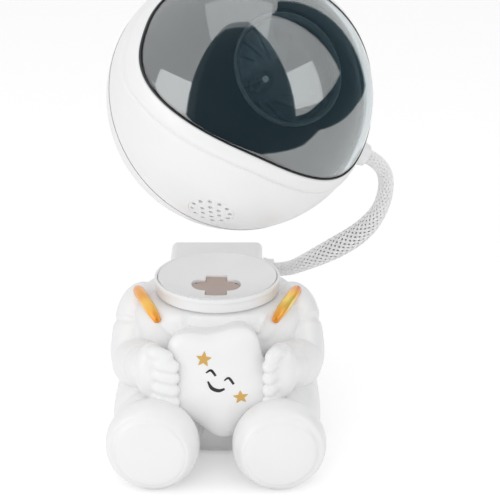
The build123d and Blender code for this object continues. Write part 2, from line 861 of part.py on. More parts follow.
def opening_cone(extra_width, extra_height):
    """Cone from the helmet's centre through the outline of the face opening."""
    a, b = opening_half_width + extra_width, opening_half_height + extra_height
    slopes = []
    for x, z in superellipse(a, b, opening_power):
        depth = math.sqrt(helmet_radius**2 - x**2 - z**2)
        slopes.append((x / depth, z / depth))
    with BuildPart() as cone:
        for reach in (opening_root, helmet_radius + opening_root):
            with BuildSketch(Plane.XZ.offset(reach)):
                with BuildLine():
                    Spline(*[(x * reach, z * reach) for x, z in slopes], periodic=True)
                make_face()
        loft(ruled=True)
    return cone.part


def ball_layer(outer, inner):
    """Hollow ball about the helmet's centre."""
    with BuildPart() as layer:
        Sphere(outer)
        Sphere(inner, mode=Mode.SUBTRACT)
    return layer.part


lean = math.radians(seam_lean)
seam = Plane(origin=(0, seam_back, 0), z_dir=(0, math.cos(lean), -math.sin(lean)))
lug_places = [
    (lug_ring_radius * math.cos(math.radians(a)), lug_ring_radius * math.sin(math.radians(a)))
    for a in lug_angles
]
tilt = math.radians(grille_lean)
grille_plane = Plane(origin=(0, 0, 0), x_dir=(1, 0, 0), z_dir=(0, -math.sin(tilt), -math.cos(tilt)))
grille_floor = math.sqrt(helmet_radius**2 - grille_radius**2) - grille_depth

with BuildPart() as lugs:
    with BuildSketch(Plane.XZ.offset(lug_front)):
        for angle, place in zip(lug_angles, lug_places):
            with Locations(place):
                Circle(lug_radius)
                reach = helmet_radius - lug_ring_radius
                outwards = (Align.MIN, Align.CENTER)
                Rectangle(reach, lug_web_thickness, rotation=angle, align=outwards)
    extrude(amount=-40)
    Sphere(helmet_radius - lug_skin, mode=Mode.INTERSECT)

with BuildPart() as lip:
    Sphere(helmet_radius + lip_proud)
    add(opening_cone(lip_width_side, lip_width_top), mode=Mode.INTERSECT)

with BuildPart() as helmet_front:
    add(lip.part)
    Sphere(helmet_radius)
    Sphere(helmet_inner, mode=Mode.SUBTRACT)
    add(lugs.part)
    add(opening_cone(0, 0), mode=Mode.SUBTRACT)
    split(bisect_by=seam, keep=Keep.BOTTOM)
    with BuildSketch(Plane.YZ):
        Circle(ear_hole_radius)
    extrude(amount=helmet_radius + 5, mode=Mode.SUBTRACT)
    with BuildSketch(grille_plane.offset(grille_floor)):
        Circle(grille_radius + running_gap)
    extrude(amount=5, mode=Mode.SUBTRACT)
    with BuildSketch(grille_plane.offset(helmet_inner - 5)):
        Circle(grille_rings[-1][0] + grille_hole_radius + running_gap)
    extrude(amount=10, mode=Mode.SUBTRACT)
    with BuildSketch(Plane.XZ.offset(-screw_seat)):
        with Locations(*lug_places):
            Circle(screw_radius)
    extrude(amount=helmet_screw_length, mode=Mode.SUBTRACT)
export_on_helmet(helmet_front, "helmet_front_shell")

with BuildPart() as helmet_rear:
    Sphere(helmet_radius)
    Sphere(helmet_inner, mode=Mode.SUBTRACT)
    add(lugs.part)
    split(bisect_by=seam, keep=Keep.TOP)
    with BuildSketch(Plane.XZ.offset(-screw_seat)):
        with Locations(*lug_places):
            Circle(screw_head_radius + fit_gap)
    extrude(amount=-40, mode=Mode.SUBTRACT)
    with BuildSketch(Plane.XZ):
        with Locations(*lug_places):
            Circle(screw_radius)
    extrude(amount=-40, mode=Mode.SUBTRACT)
    # cooling slots at the back
    with BuildSketch(Plane.XZ):
        with Locations((0, vent_z)):
            with GridLocations(vent_spacing, 0, vent_count, 1):
                SlotOverall(vent_length, vent_width, rotation=90)
    extrude(amount=-helmet_radius, mode=Mode.SUBTRACT)
export_on_helmet(helmet_rear, "helmet_rear_shell")

with BuildPart() as helmet_screws:
    with BuildSketch(Plane.XZ.offset(-screw_seat)):
        with Locations(*lug_places):
            Circle(screw_head_radius)
    extrude(amount=-screw_head_height)
    with BuildSketch(Plane.XZ.offset(-screw_seat)):
        with Locations(*lug_places):
            Circle(screw_radius)
    extrude(amount=helmet_screw_length)
export_on_helmet(helmet_screws, "helmet_screws")


# ------------------------------------------------------------- visor and its mask
visor_outer = helmet_radius - visor_recess
visor_inner = visor_outer - visor_thickness
flange_outer = helmet_inner - fit_gap
flange_inner = flange_outer - visor_thickness
with BuildPart() as visor_rim:
    add(ball_layer(flange_outer, flange_inner))
    add(opening_cone(visor_flange_side, visor_flange_top), mode=Mode.INTERSECT)
    add(opening_cone(-visor_flange_top, -visor_flange_top), mode=Mode.SUBTRACT)

with BuildPart() as visor:
    add(ball_layer(visor_outer, visor_inner))
    add(opening_cone(-fit_gap, -fit_gap), mode=Mode.INTERSECT)
    add(visor_rim.part)
export_on_helmet(visor, "visor")

mask_inner = flange_inner - mask_thickness
with BuildPart() as visor_mask:
    add(ball_layer(flange_inner, mask_inner))
    add(opening_cone(visor_flange_side / 2, visor_flange_top / 2), mode=Mode.INTERSECT)
    with BuildSketch(Plane.XZ):
        Circle(lens_ring_radius + fit_gap)
    extrude(amount=helmet_radius, mode=Mode.SUBTRACT)
export_on_helmet(visor_mask, "visor_mask")


# ------------------------------------------------------------------- the projector
barrel_front = math.sqrt(mask_inner**2 - barrel_radius**2)
barrel_back = barrel_front - barrel_depth
with BuildPart() as lens_ring:
    with BuildSketch(Plane.YZ):
        with BuildLine():
            Polyline(
                (-barrel_front, lens_radius - ring_overlap),
                (-barrel_front, lens_ring_radius),
                (-barrel_front - lens_ring_height, lens_ring_radius),
                (-barrel_front - lens_ring_height, lens_ring_radius - ring_overlap),
                (-barrel_front - lens_ring_height + ring_bevel_depth, lens_radius + running_gap),
                (-barrel_front - lens_seat, lens_radius + running_gap),
                (-barrel_front - lens_seat, lens_radius - ring_overlap),
                close=True,
            )
        make_face()
    revolve(axis=Axis.Y)
export_on_helmet(lens_ring, "lens_ring")

lens_rise = lens_height - lens_edge
dome_radius = (lens_radius**2 + lens_rise**2) / (2 * lens_rise)
lens_base = barrel_front + lens_seat
with BuildPart() as projector_lens:
    with BuildSketch(Plane.YZ):
        with BuildLine():
            Polyline((-lens_base - lens_height, 0), (-lens_base, 0), (-lens_base, lens_radius))
            Line((-lens_base, lens_radius), (-lens_base - lens_edge, lens_radius))
            half = math.asin(lens_radius / dome_radius) / 2
            mid_y = lens_base + lens_height - dome_radius * (1 - math.cos(half))
            ThreePointArc(
                (-lens_base - lens_edge, lens_radius),
                (-mid_y, dome_radius * math.sin(half)),
                (-lens_base - lens_height, 0),
            )
        make_face()
    revolve(axis=Axis.Y)
export_on_helmet(projector_lens, "projector_lens")

with BuildPart() as optics_barrel:
    with BuildSketch(Plane.XZ.offset(barrel_back)):
        Circle(barrel_radius)
    extrude(amount=barrel_depth)
    with BuildSketch(Plane.XZ.offset(barrel_back + barrel_wall)):
        Circle(barrel_radius - barrel_wall)
    extrude(amount=barrel_depth, mode=Mode.SUBTRACT)
    with BuildSketch(Plane.XZ.offset(barrel_back)):
        Circle(shaft_radius + shaft_hole_gap)
        with Locations((led_offset, 0)):
            Circle(led_window_radius)
        with Locations((-laser_offset, 0)):
            Circle(laser_radius)
    extrude(amount=barrel_wall, mode=Mode.SUBTRACT)
export_on_helmet(optics_barrel, "optics_barrel")

motor_back = barrel_back - motor_length
with BuildPart() as wheel_motor:
    with BuildSketch(Plane.XZ.offset(motor_back)):
        Circle(motor_radius)
    extrude(amount=motor_length)
    with BuildSketch(Plane.XZ.offset(motor_back + motor_bore_start)):
        Circle(shaft_radius + running_gap)
    extrude(amount=motor_length, mode=Mode.SUBTRACT)
export_on_helmet(wheel_motor, "wheel_motor")

wheel_back = barrel_front - wheel_depth
with BuildPart() as nebula_wheel:
    with BuildSketch(Plane.XZ.offset(wheel_back)):
        Circle(wheel_radius)
    extrude(amount=wheel_thickness)
    # ripple that spreads the light into clouds
    with BuildSketch(Plane.XZ.offset(wheel_back + wheel_thickness)):
        with PolarLocations((hub_radius + wheel_radius) / 2, ripple_count):
            SlotOverall(ripple_length, ripple_width, rotation=ripple_angle)
    extrude(amount=ripple_height)
    with BuildSketch(Plane.XZ.offset(wheel_back)):
        Circle(hub_radius)
    extrude(amount=-hub_height)
    with BuildSketch(Plane.XZ.offset(wheel_back - hub_height)):
        Circle(shaft_radius)
    extrude(amount=hub_height + wheel_thickness + ripple_height, mode=Mode.SUBTRACT)
export_on_helmet(nebula_wheel, "nebula_wheel")

shaft_back = motor_back + motor_bore_start + shaft_end_gap
with BuildPart() as wheel_shaft:
    with BuildSketch(Plane.XZ.offset(shaft_back)):
        Circle(shaft_radius)
    extrude(amount=wheel_back + wheel_thickness - shaft_back)
export_on_helmet(wheel_shaft, "wheel_shaft")

board_front = barrel_back
with BuildPart() as led_board:
    with BuildSketch(Plane.XZ.offset(board_front)):
        with Locations((led_offset, 0)):
            Rectangle(led_board_size, led_board_size)
    extrude(amount=-led_board_thickness)
    with BuildSketch(Plane.XZ.offset(board_front)):
        with Locations((led_offset, 0)):
            Circle(led_radius)
    extrude(amount=led_height)
export_on_helmet(led_board, "led_board")

with BuildPart() as heat_sink:
    with BuildSketch(Plane.XZ.offset(board_front - led_board_thickness)):
        with Locations((led_offset, 0)):
            Rectangle(led_board_size, led_board_size)
    extrude(amount=-heat_sink_depth)
    with BuildSketch(Plane.XZ.offset(board_front - led_board_thickness - heat_sink_base)):
        with Locations((led_offset, 0)):
            with GridLocations(0, fin_pitch, 1, fin_gap_count):
                Rectangle(led_board_size, fin_gap)
    extrude(amount=-heat_sink_depth, mode=Mode.SUBTRACT)
export_on_helmet(heat_sink, "heat_sink")

with BuildPart() as laser_module:
    with BuildSketch(Plane.XZ.offset(barrel_back + laser_reach - laser_length)):
        with Locations((-laser_offset, 0)):
            Circle(laser_radius)
    extrude(amount=laser_length)
    with BuildSketch(Plane.XZ.offset(barrel_back + laser_reach)):
        with Locations((-laser_offset, 0)):
            Circle(laser_bore_radius)
    extrude(amount=-laser_bore_depth, mode=Mode.SUBTRACT)
export_on_helmet(laser_module, "laser_module")


# ------------------------------------------------------- grille, speaker and catch
with BuildPart() as speaker_grille:
    with BuildSketch(grille_plane.offset(grille_floor)):
        Circle(grille_radius)
    extrude(amount=8)
    Sphere(helmet_radius, mode=Mode.INTERSECT)
    with BuildSketch(grille_plane.offset(grille_floor)):
        for ring_radius, count in grille_rings:
            if count == 1:
                Circle(grille_hole_radius)
            else:
                with PolarLocations(ring_radius, count):
                    Circle(grille_hole_radius)
    extrude(amount=8, mode=Mode.SUBTRACT)
export_on_helmet(speaker_grille, "speaker_grille")

speaker_front = math.sqrt(helmet_inner**2 - speaker_radius**2) - running_gap
speaker_magnet_front = speaker_front - speaker_depth + speaker_magnet_height
with BuildPart() as speaker:
    with BuildSketch(grille_plane.offset(speaker_front)):
        Circle(speaker_radius)
    extrude(amount=-speaker_rim_height)
    with BuildSketch(grille_plane.offset(speaker_front)):
        Circle(speaker_radius - speaker_rim_width)
    extrude(amount=-speaker_cone_depth, mode=Mode.SUBTRACT)
    with BuildSketch(grille_plane.offset(speaker_front - speaker_rim_height)):
        Circle(speaker_radius)
    with BuildSketch(grille_plane.offset(speaker_magnet_front)):
        Circle(speaker_magnet_radius)
    loft()
    with BuildSketch(grille_plane.offset(speaker_magnet_front)):
        Circle(speaker_magnet_radius)
    extrude(amount=-speaker_magnet_height)
export_on_helmet(speaker, "speaker")

catch_top = math.sqrt(helmet_inner**2 - catch_ring_radius**2) - running_gap
with BuildPart() as catch_ring:
    with BuildSketch(grille_plane.offset(catch_top)):
        Circle(catch_ring_radius)
        Circle(speaker_radius + fit_gap, mode=Mode.SUBTRACT)
    extrude(amount=-catch_ring_thickness)
export_on_helmet(catch_ring, "catch_ring")


# ----------------------------------------------------------- hose and its fittings
with BuildPart() as hose_ferrule:
    with BuildSketch(Plane.YZ.offset(helmet_radius)):
        Circle(ferrule_flange_radius)
    extrude(amount=ferrule_flange_height)
    with BuildSketch(Plane.YZ.offset(helmet_radius + ferrule_flange_height)):
        Circle(ferrule_sleeve_radius + ferrule_taper)
    with BuildSketch(Plane.YZ.offset(hose_start_reach)):
        Circle(ferrule_sleeve_radius)
    loft()
    with BuildSketch(Plane.YZ.offset(helmet_radius)):
        Circle(ear_hole_radius - running_gap)
    extrude(amount=-(helmet_wall + ferrule_catch_gap))
    with BuildSketch(Plane.YZ.offset(helmet_radius - helmet_wall - ferrule_catch_gap)):
        Circle(ear_hole_radius + ferrule_catch_width)
    extrude(amount=-ferrule_catch_height)
export_on_helmet(hose_ferrule, "hose_ferrule")

gland_end = pack_half_width + gland_reach
with BuildPart() as hose_gland:
    with BuildSketch(Plane.YZ.offset(pack_half_width)):
        with Locations((gland_y, gland_z)):
            Circle(gland_flange_radius)
    extrude(amount=gland_flange_height)
    with BuildSketch(Plane.YZ.offset(pack_half_width)):
        with Locations((gland_y, gland_z)):
            Circle(ferrule_sleeve_radius)
    extrude(amount=gland_end - pack_half_width)
    with BuildSketch(Plane.YZ.offset(pack_half_width)):
        with Locations((gland_y, gland_z)):
            Circle(hose_radius - wire_bore_inset - running_gap)
    extrude(amount=-pack_wall)
hose_gland.part.label = "hose_gland"
export_step(hose_gland.part, "parts/hose_gland.step")

hose_start = helmet_centre + ear_dir * hose_start_reach
hose_route = [
    hose_start,
    hose_start + ear_dir * hose_ear_straight,
    Vector(76.6, 14.6, 117.0),
    Vector(74.0, 17.3, 102.5),
    Vector(65.8, 22.0, 89.8),
    Vector(53.5, 27.5, 79.6),
    Vector(41.0, 31.6, 71.4),
    Vector(gland_end + hose_gland_straight, gland_y, gland_z),
    Vector(gland_end, gland_y, gland_z),
]
runs = [(b - a).length for a, b in zip(hose_route, hose_route[1:])]
turns = [(b - a).get_angle(c - b) for a, b, c in zip(hose_route, hose_route[1:], hose_route[2:])]
hose_radii = [
    0.45 * min(before, after) / math.tan(math.radians(turn / 2))
    for before, after, turn in zip(runs, runs[1:], turns)
]
print("hose radii", [round(radius, 1) for radius in hose_radii])
with BuildPart() as hose:
    with BuildLine() as hose_line:
        FilletPolyline(*hose_route, radius=hose_radii)
    with BuildSketch(Plane(origin=hose_route[0], z_dir=hose_route[1] - hose_route[0])):
        Circle(hose_radius)
    sweep()
hose.part.label = "hose"
export_step(hose.part, "parts/hose.step")
hose_length = hose_line.wires()[0].length
section = math.pi * hose_radius**2
print("hose length", round(hose_length, 2), "volume share", hose.part.volume / section / hose_length)
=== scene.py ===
import json
import math
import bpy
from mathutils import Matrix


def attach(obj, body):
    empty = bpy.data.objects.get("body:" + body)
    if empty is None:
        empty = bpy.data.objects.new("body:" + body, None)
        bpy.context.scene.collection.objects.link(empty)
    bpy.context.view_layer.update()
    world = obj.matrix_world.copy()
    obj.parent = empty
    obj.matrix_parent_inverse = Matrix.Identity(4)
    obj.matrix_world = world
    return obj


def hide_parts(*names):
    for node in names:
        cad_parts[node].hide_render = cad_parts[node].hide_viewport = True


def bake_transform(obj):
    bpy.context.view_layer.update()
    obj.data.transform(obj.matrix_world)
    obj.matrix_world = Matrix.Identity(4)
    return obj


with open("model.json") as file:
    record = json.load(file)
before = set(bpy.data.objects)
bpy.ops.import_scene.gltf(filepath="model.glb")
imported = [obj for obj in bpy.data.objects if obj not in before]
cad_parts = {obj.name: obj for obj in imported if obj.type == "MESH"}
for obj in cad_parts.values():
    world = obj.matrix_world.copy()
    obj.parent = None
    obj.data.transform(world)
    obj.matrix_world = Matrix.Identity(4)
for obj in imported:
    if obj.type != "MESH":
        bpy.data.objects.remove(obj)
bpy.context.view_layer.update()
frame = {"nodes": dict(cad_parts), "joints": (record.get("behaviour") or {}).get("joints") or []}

from types import SimpleNamespace as Values

import bmesh
import bpy
import numpy as np
from mathutils import Vector

# Star night light projector: a seated astronaut figure with a star pillow and a
# ball helmet on a braided hose. The sizes in each set of Values are in millimetres and
# mm turns them into metres, apart from those of the painted strap highlight and studio, which are in metres.
mm = 0.001
mergeDistance = 1e-6         # in metres: points closer than this become one
joints = {joint["name"]: joint for joint in frame["joints"]}
helmetCentre = np.array(joints["head_turn"]["pos_m"])
faceAxis = np.array(joints["nebula_spin"]["axis"])
earAxis = np.array(joints["head_tilt"]["axis"])
upAxis = np.cross(faceAxis, earAxis)


def addObject(name, data):
    # object in the scene that shows its data
    made = bpy.data.objects.new(name, data)
    bpy.context.scene.collection.objects.link(made)
    return made


# camera
cameraView = Values(place=(14.7, -655.0, 354.8), down=22.0, focalShare=3.162)

cameraData = bpy.data.cameras.new("camera")
cameraData.lens = cameraView.focalShare * cameraData.sensor_width
cameraObject = addObject("camera", cameraData)
cameraObject.location = [value * mm for value in cameraView.place]
cameraObject.rotation_euler = (math.radians(90 - cameraView.down), 0, 0)
bpy.context.scene.camera = cameraObject
bpy.context.scene.view_settings.view_transform = "Standard"


# surfaces worked out as arrays
def unit(vectors):
    # each vector divided by its length
    vectors = np.asarray(vectors, float)
    return vectors / np.linalg.norm(vectors, axis=-1, keepdims=True)


def fullTurn(count):
    # angles once round, without the last one that would repeat the first
    return np.linspace(0, 2 * np.pi, count, endpoint=False)


def smoothStep(values, low, high):
    # 0 below low, 1 above high, 3t^2 - 2t^3 between
    t = np.clip((values - low) / (high - low), 0, 1)
    return t * t * (3 - 2 * t)


def superellipse(angles, halfWidth, halfHeight, power):
    # |x / a|^n + |y / b|^n = 1, walked round by angle
    c, s = np.cos(angles), np.sin(angles)
    x = halfWidth * np.sign(c) * np.abs(c) ** (2 / power)
    y = halfHeight * np.sign(s) * np.abs(s) ** (2 / power)
    return x, y


def curveThrough(points, count):
    # Catmull-Rom curve through rows of values, evenly stepped between the rows
    points = np.asarray(points, float)
    padded = np.vstack([2 * points[0] - points[1], points, 2 * points[-1] - points[-2]])
    u = np.linspace(0, len(points) - 1, count)
    k = np.minimum(u.astype(int), len(points) - 2)
    t = (u - k)[:, None]
    a, b, c, d = padded[k], padded[k + 1], padded[k + 2], padded[k + 3]
    return b + 0.5 * t * (c - a + t * (2 * a - 5 * b + 4 * c - d + t * (3 * (b - c) + d - a)))


def grid(points, closeRows=False, closeColumns=True):
    # points of shape (rows, columns, 3), with one quad for each cell between them
    rows, columns = points.shape[:2]
    r = np.arange(rows if closeRows else rows - 1)
    c = np.arange(columns if closeColumns else columns - 1)
    r, c = np.meshgrid(r, c, indexing="ij")
    nextRow, nextColumn = (r + 1) % rows, (c + 1) % columns
    corners = [r * columns + c, r * columns + nextColumn,
               nextRow * columns + nextColumn, nextRow * columns + c]
    return points.reshape(-1, 3), np.stack(corners, -1).reshape(-1, 4)


def newPiece(name, grids, material, sharp=35.0, closed=False):
    # joins grids into one mesh, merges poles and seams, closes open edges where closed is set
    # and turns its faces outwards
    vertices, faces, start = [], [], 0
    for points, quads in grids:
        vertices.append(points)
        faces.append(quads + start)
        start += len(points)
    mesh = bpy.data.meshes.new(name)
    mesh.from_pydata(np.vstack(vertices) * mm, [], np.vstack(faces))
    work = bmesh.new()
    work.from_mesh(mesh)
    bmesh.ops.remove_doubles(work, verts=work.verts, dist=mergeDistance)
    bmesh.ops.recalc_face_normals(work, faces=work.faces)
    if closed:
        bmesh.ops.holes_fill(work, edges=[edge for edge in work.edges if edge.is_boundary])
        bmesh.ops.recalc_face_normals(work, faces=work.faces)
    work.to_mesh(mesh)
    work.free()
    piece = addObject(name, mesh)
    piece.data.materials.append(material)
    shade(piece, sharp)
    return piece


def shade(piece, sharp):
    # smooth faces, with an edge kept sharp where it turns by more than sharp degrees
    piece.data.polygons.foreach_set("use_smooth", np.ones(len(piece.data.polygons), bool))
    piece.data.set_sharp_from_angle(angle=math.radians(sharp))


def applyModifiers(piece, sharp=35.0):
    # writes what the modifiers make into the mesh
    view = bpy.context.evaluated_depsgraph_get()
    made = bpy.data.meshes.new_from_object(piece.evaluated_get(view))
    piece.modifiers.clear()
    piece.data = made
    shade(piece, sharp)


def cutAway(piece, cutters, sharp=35.0):
    # takes the closed cutter grids out of a piece
    cutter = newPiece("cutter", cutters, piece.data.materials[0])
    difference = piece.modifiers.new("cut", "BOOLEAN")
    difference.operation = "DIFFERENCE"
    difference.solver = "EXACT"
    difference.object = cutter
    applyModifiers(piece, sharp)
    bpy.data.objects.remove(cutter)


def mount(piece, body, node):
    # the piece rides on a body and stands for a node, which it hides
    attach(piece, body)
    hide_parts(node)


def lathe(profile, segments=128, origin=(0, 0, 0), axis=(0, 0, 1), side=(1, 0, 0)):
    # (radius, height) rows turned about an axis through origin, from side onwards
    profile = np.asarray(profile, float)
    axis, side = unit(axis), unit(side)
    across = np.cross(axis, side)
    turn = fullTurn(segments)
    ring = np.cos(turn)[:, None] * side + np.sin(turn)[:, None] * across
    points = profile[:, None, :1] * ring[None] + profile[:, None, 1:] * axis
    return grid(points + np.asarray(origin, float))


def sideways(tangents, reference):
    # two directions square to each tangent, the first one kept near reference
    first = unit(reference - tangents * (tangents @ reference)[:, None])
    return first, np.cross(tangents, first)


def tube(centres, radii, reference, segments=48, folds=None, roundEnds=True, endReach=None):
    # circle of the given radius carried along the centres; folds adds to the radius,
    # and each end is domed by its own radius, or the last one by endReach
    centres, radii = np.asarray(centres, float), np.asarray(radii, float)
    tangents = unit(np.gradient(centres, axis=0))
    first, second = sideways(tangents, np.asarray(reference, float))
    turn = fullTurn(segments)
    reach = radii[:, None] * np.ones(segments)
    if folds is not None:
        along = np.linspace(0, 1, len(centres))
        reach = reach + folds(along[:, None], turn[None, :])
    points = (
        centres[:, None]
        + (reach * np.cos(turn))[..., None] * first[:, None]
        + (reach * np.sin(turn))[..., None] * second[:, None]
    )
    if roundEnds:
        points = np.concatenate([
            roundEnd(points[0], centres[0], -tangents[0] * radii[0])[::-1],
            points,
            roundEnd(points[-1], centres[-1], tangents[-1] * (endReach or radii[-1])),
        ])
    return grid(points)


def roundEnd(ring, centre, reach, steps=10):
    # quarter circle from an end ring to its pole
    lift = np.linspace(0, np.pi / 2, steps + 1)[1:]
    return (
        centre
        + (ring - centre)[None] * np.cos(lift)[:, None, None]
        + reach * np.sin(lift)[:, None, None]
    )


def directions(lift, turn):
    # unit vectors by height angle and turn angle
    return np.stack([np.cos(lift) * np.cos(turn), np.cos(lift) * np.sin(turn),
                     np.sin(lift) * np.ones_like(turn)], -1)


def ellipsoid(centre, radii, segments=40):
    # ball stretched along X, Y and Z
    lift = np.linspace(-np.pi / 2, np.pi / 2, segments // 2)[:, None]
    points = directions(lift, fullTurn(segments)[None, :])
    return grid(points * np.asarray(radii, float) + np.asarray(centre, float))


def prism(outline, axis, depths):
    # closed bar: an outline of points carried along an axis from one depth to the other
    middle = outline.mean(0) + 0 * outline
    near, far = depths
    rows = ((middle, near), (outline, near), (outline, far), (middle, far))
    return grid(np.stack([row + np.array(axis) * depth for row, depth in rows]))


# materials
def newMaterial(name):
    # empty material with its node tree and its shader
    material = bpy.data.materials.new(name)
    material.use_nodes = True
    return material, material.node_tree, material.node_tree.nodes["Principled BSDF"]


def feed(tree, node, inputs):
    # gives each input its value, or a link from the output that drives it
    for place, value in inputs.items():
        if isinstance(value, bpy.types.NodeSocket):
            tree.links.new(value, node.inputs[place])
        else:
            node.inputs[place].default_value = value


def addNode(tree, kind, inputs=None, **settings):
    # shader node with its settings and inputs
    node = tree.nodes.new("ShaderNode" + kind)
    for name, value in settings.items():
        setattr(node, name, value)
    feed(tree, node, inputs or {})
    return node


def mouldedGroup():
    # faint waviness and fine grain of moulded plastic, with a little uneven gloss
    tree = bpy.data.node_groups.new("mouldedSurface", "ShaderNodeTree")
    colour, number = "NodeSocketColor", "NodeSocketFloat"
    for way, sockets in (
        ("INPUT", {"Colour": colour, "Shade": colour, "Roughness": number, "Grain": number, "Wave": number}),
        ("OUTPUT", {"Colour": colour, "Roughness": number, "Height": number}),
    ):
        for name, kind in sockets.items():
            tree.interface.new_socket(name=name, in_out=way, socket_type=kind)
    entry = tree.nodes.new("NodeGroupInput").outputs
    place = addNode(tree, "TexCoord").outputs["Object"]
    grain = addNode(tree, "TexNoise", {"Vector": place, "Scale": entry["Grain"]}).outputs["Fac"]
    wave = addNode(tree, "TexNoise", {"Vector": place, "Scale": entry["Wave"], "Detail": 1.0}).outputs["Fac"]
    share = addNode(tree, "MapRange", {"Value": wave, "From Min": 0.45, "From Max": 0.75})
    tone = addNode(tree, "Mix", {"Factor": share.outputs["Result"], "A": entry["Colour"],
                                 "B": entry["Shade"]}, data_type="RGBA")
    uneven = addNode(tree, "Math", {0: wave, 1: 0.08, 2: entry["Roughness"]}, operation="MULTIPLY_ADD")
    height = addNode(tree, "Math", {0: wave, 1: 6.0, 2: grain}, operation="MULTIPLY_ADD")
    feed(tree, tree.nodes.new("NodeGroupOutput"), {
        "Colour": tone.outputs["Result"],
        "Roughness": uneven.outputs["Value"],
        "Height": height.outputs["Value"],
    })
    return tree


moulded = mouldedGroup()


def surfaceMaterial(name, colour, shadeColour, roughness, bumpDistance=0.00002, grain=900.0,
                    wave=45.0, metallic=0.0, coat=0.0):
    # moulded or metal surface from the shared group
    material, tree, shader = newMaterial(name)
    surface = addNode(tree, "Group", {"Colour": (*colour, 1), "Shade": (*shadeColour, 1),
                                      "Roughness": roughness, "Grain": grain, "Wave": wave},
                      node_tree=moulded).outputs
    relief = addNode(tree, "Bump", {"Height": surface["Height"], "Distance": bumpDistance, "Strength": 0.5})
    feed(tree, shader, {
        "Base Color": surface["Colour"], "Roughness": surface["Roughness"], "Metallic": metallic,
        "Normal": relief.outputs["Normal"], "Coat Weight": coat, "Coat Roughness": 0.05, "IOR": 1.5,
    })
    return material


def clearMaterial(name, colour, roughness, ior, haze=0.02):
    # see-through plastic or glass with faint streaks in its gloss
    material, tree, shader = newMaterial(name)
    place = addNode(tree, "TexCoord").outputs["Object"]
    streaks = addNode(tree, "TexNoise", {"Vector": place, "Scale": 60.0}).outputs["Fac"]
    gloss = addNode(tree, "MapRange", {"Value": streaks, "To Min": roughness, "To Max": roughness + haze})
    feed(tree, shader, {"Base Color": (*colour, 1), "Transmission Weight": 1.0, "IOR": ior,
                        "Roughness": gloss.outputs["Result"]})
    return material


# gold paint of the straps with a painted highlight: its tone by the share of the way from front to back,
# yellow in the middle where the highlight is painted
paintedStrapHighlight = Values(
    front=-0.028, back=0.0,
    # deep orange at both ends, with a painted yellow highlight between them
    tones=[(0.0, (0.86, 0.27, 0.01)), (0.38, (1.0, 0.74, 0.16)), (0.62, (1.0, 0.54, 0.04)),
           (0.85, (0.84, 0.24, 0.01))],
)


def goldHighlightMaterial():
    # gold paint with a painted highlight: paler and yellower in a strap's middle, deeper at both ends
    material = surfaceMaterial("goldPaintWithHighlight", (0.95, 0.5, 0.05), (0.85, 0.36, 0.03), 0.25,
                               metallic=0.35, coat=0.4)
    tree = material.node_tree
    place = addNode(tree, "TexCoord").outputs["Object"]
    parts = addNode(tree, "SeparateXYZ", {"Vector": place})
    share = addNode(tree, "MapRange", {"Value": parts.outputs["Y"], "From Min": paintedStrapHighlight.front,
                                       "From Max": paintedStrapHighlight.back})
    ramp = addNode(tree, "ValToRGB", {"Fac": share.outputs["Result"]})
    stops = ramp.color_ramp.elements
    while len(stops) < len(paintedStrapHighlight.tones):
        stops.new(1.0)
    for stop, (position, tone) in zip(stops, paintedStrapHighlight.tones):
        stop.position = position
        stop.color = (*tone, 1)
    feed(tree, tree.nodes["Group"], {"Colour": ramp.outputs["Color"]})
    return material


# name, colour, its second tone, roughness
glossWhite = surfaceMaterial("glossWhitePlastic", (0.87, 0.87, 0.875), (0.85, 0.85, 0.855), 0.3, coat=0.1)
suitWhite = surfaceMaterial("suitWhitePlastic", (0.88, 0.88, 0.88), (0.86, 0.86, 0.86), 0.3, coat=0.1)
bowlWhite = surfaceMaterial("bowlWhitePlastic", (0.9, 0.9, 0.905), (0.88, 0.88, 0.885), 0.35)
# gold paint with a painted highlight along the middle of each strap
goldPaintWithHighlight = goldHighlightMaterial()
printGold = surfaceMaterial("printedGold", (0.72, 0.44, 0.12), (0.62, 0.37, 0.1), 0.35, metallic=0.1)
printBlack = surfaceMaterial("printedBlack", (0.01, 0.01, 0.01), (0.02, 0.02, 0.02), 0.3)
tanPlate = surfaceMaterial("tanPlate", (0.50, 0.40, 0.36), (0.46, 0.37, 0.33), 0.45, metallic=0.1)
blackSatin = surfaceMaterial("blackSatinPlastic", (0.012, 0.016, 0.018), (0.02, 0.024, 0.026), 0.35)
yarnWhite = surfaceMaterial("hoseYarn", (0.95, 0.95, 0.95), (0.92, 0.92, 0.92), 0.35,
                            grain=2500.0, wave=300.0)
# grey of the hose's core, partly painted shade for the braid's dark gaps
coreGreyAndShade = surfaceMaterial("hoseCore", (0.52, 0.52, 0.53), (0.42, 0.42, 0.43), 0.6, wave=200.0)
steelBright = surfaceMaterial("brightSteel", (0.6, 0.6, 0.62), (0.5, 0.5, 0.52), 0.25, metallic=1.0)
satinSilver = surfaceMaterial("satinSilver", (0.66, 0.7, 0.72), (0.58, 0.62, 0.64), 0.4, metallic=0.3)
padGrey = surfaceMaterial("padRubber", (0.45, 0.45, 0.46), (0.4, 0.4, 0.41), 0.7, bumpDistance=0.00005)
boardGreen = surfaceMaterial("circuitBoard", (0.02, 0.16, 0.07), (0.015, 0.12, 0.05), 0.35)
brassBare = surfaceMaterial("bareBrass", (0.7, 0.5, 0.2), (0.6, 0.42, 0.16), 0.3, metallic=1.0)
visorTint = clearMaterial("visorTint", (0.56, 0.64, 0.66), 0.0, 2.3, haze=0.0)
lensClear = clearMaterial("lensClear", (0.92, 0.96, 0.98), 0.0, 1.49)
wheelClear = clearMaterial("wheelClear", (0.75, 0.8, 0.95), 0.1, 1.49)
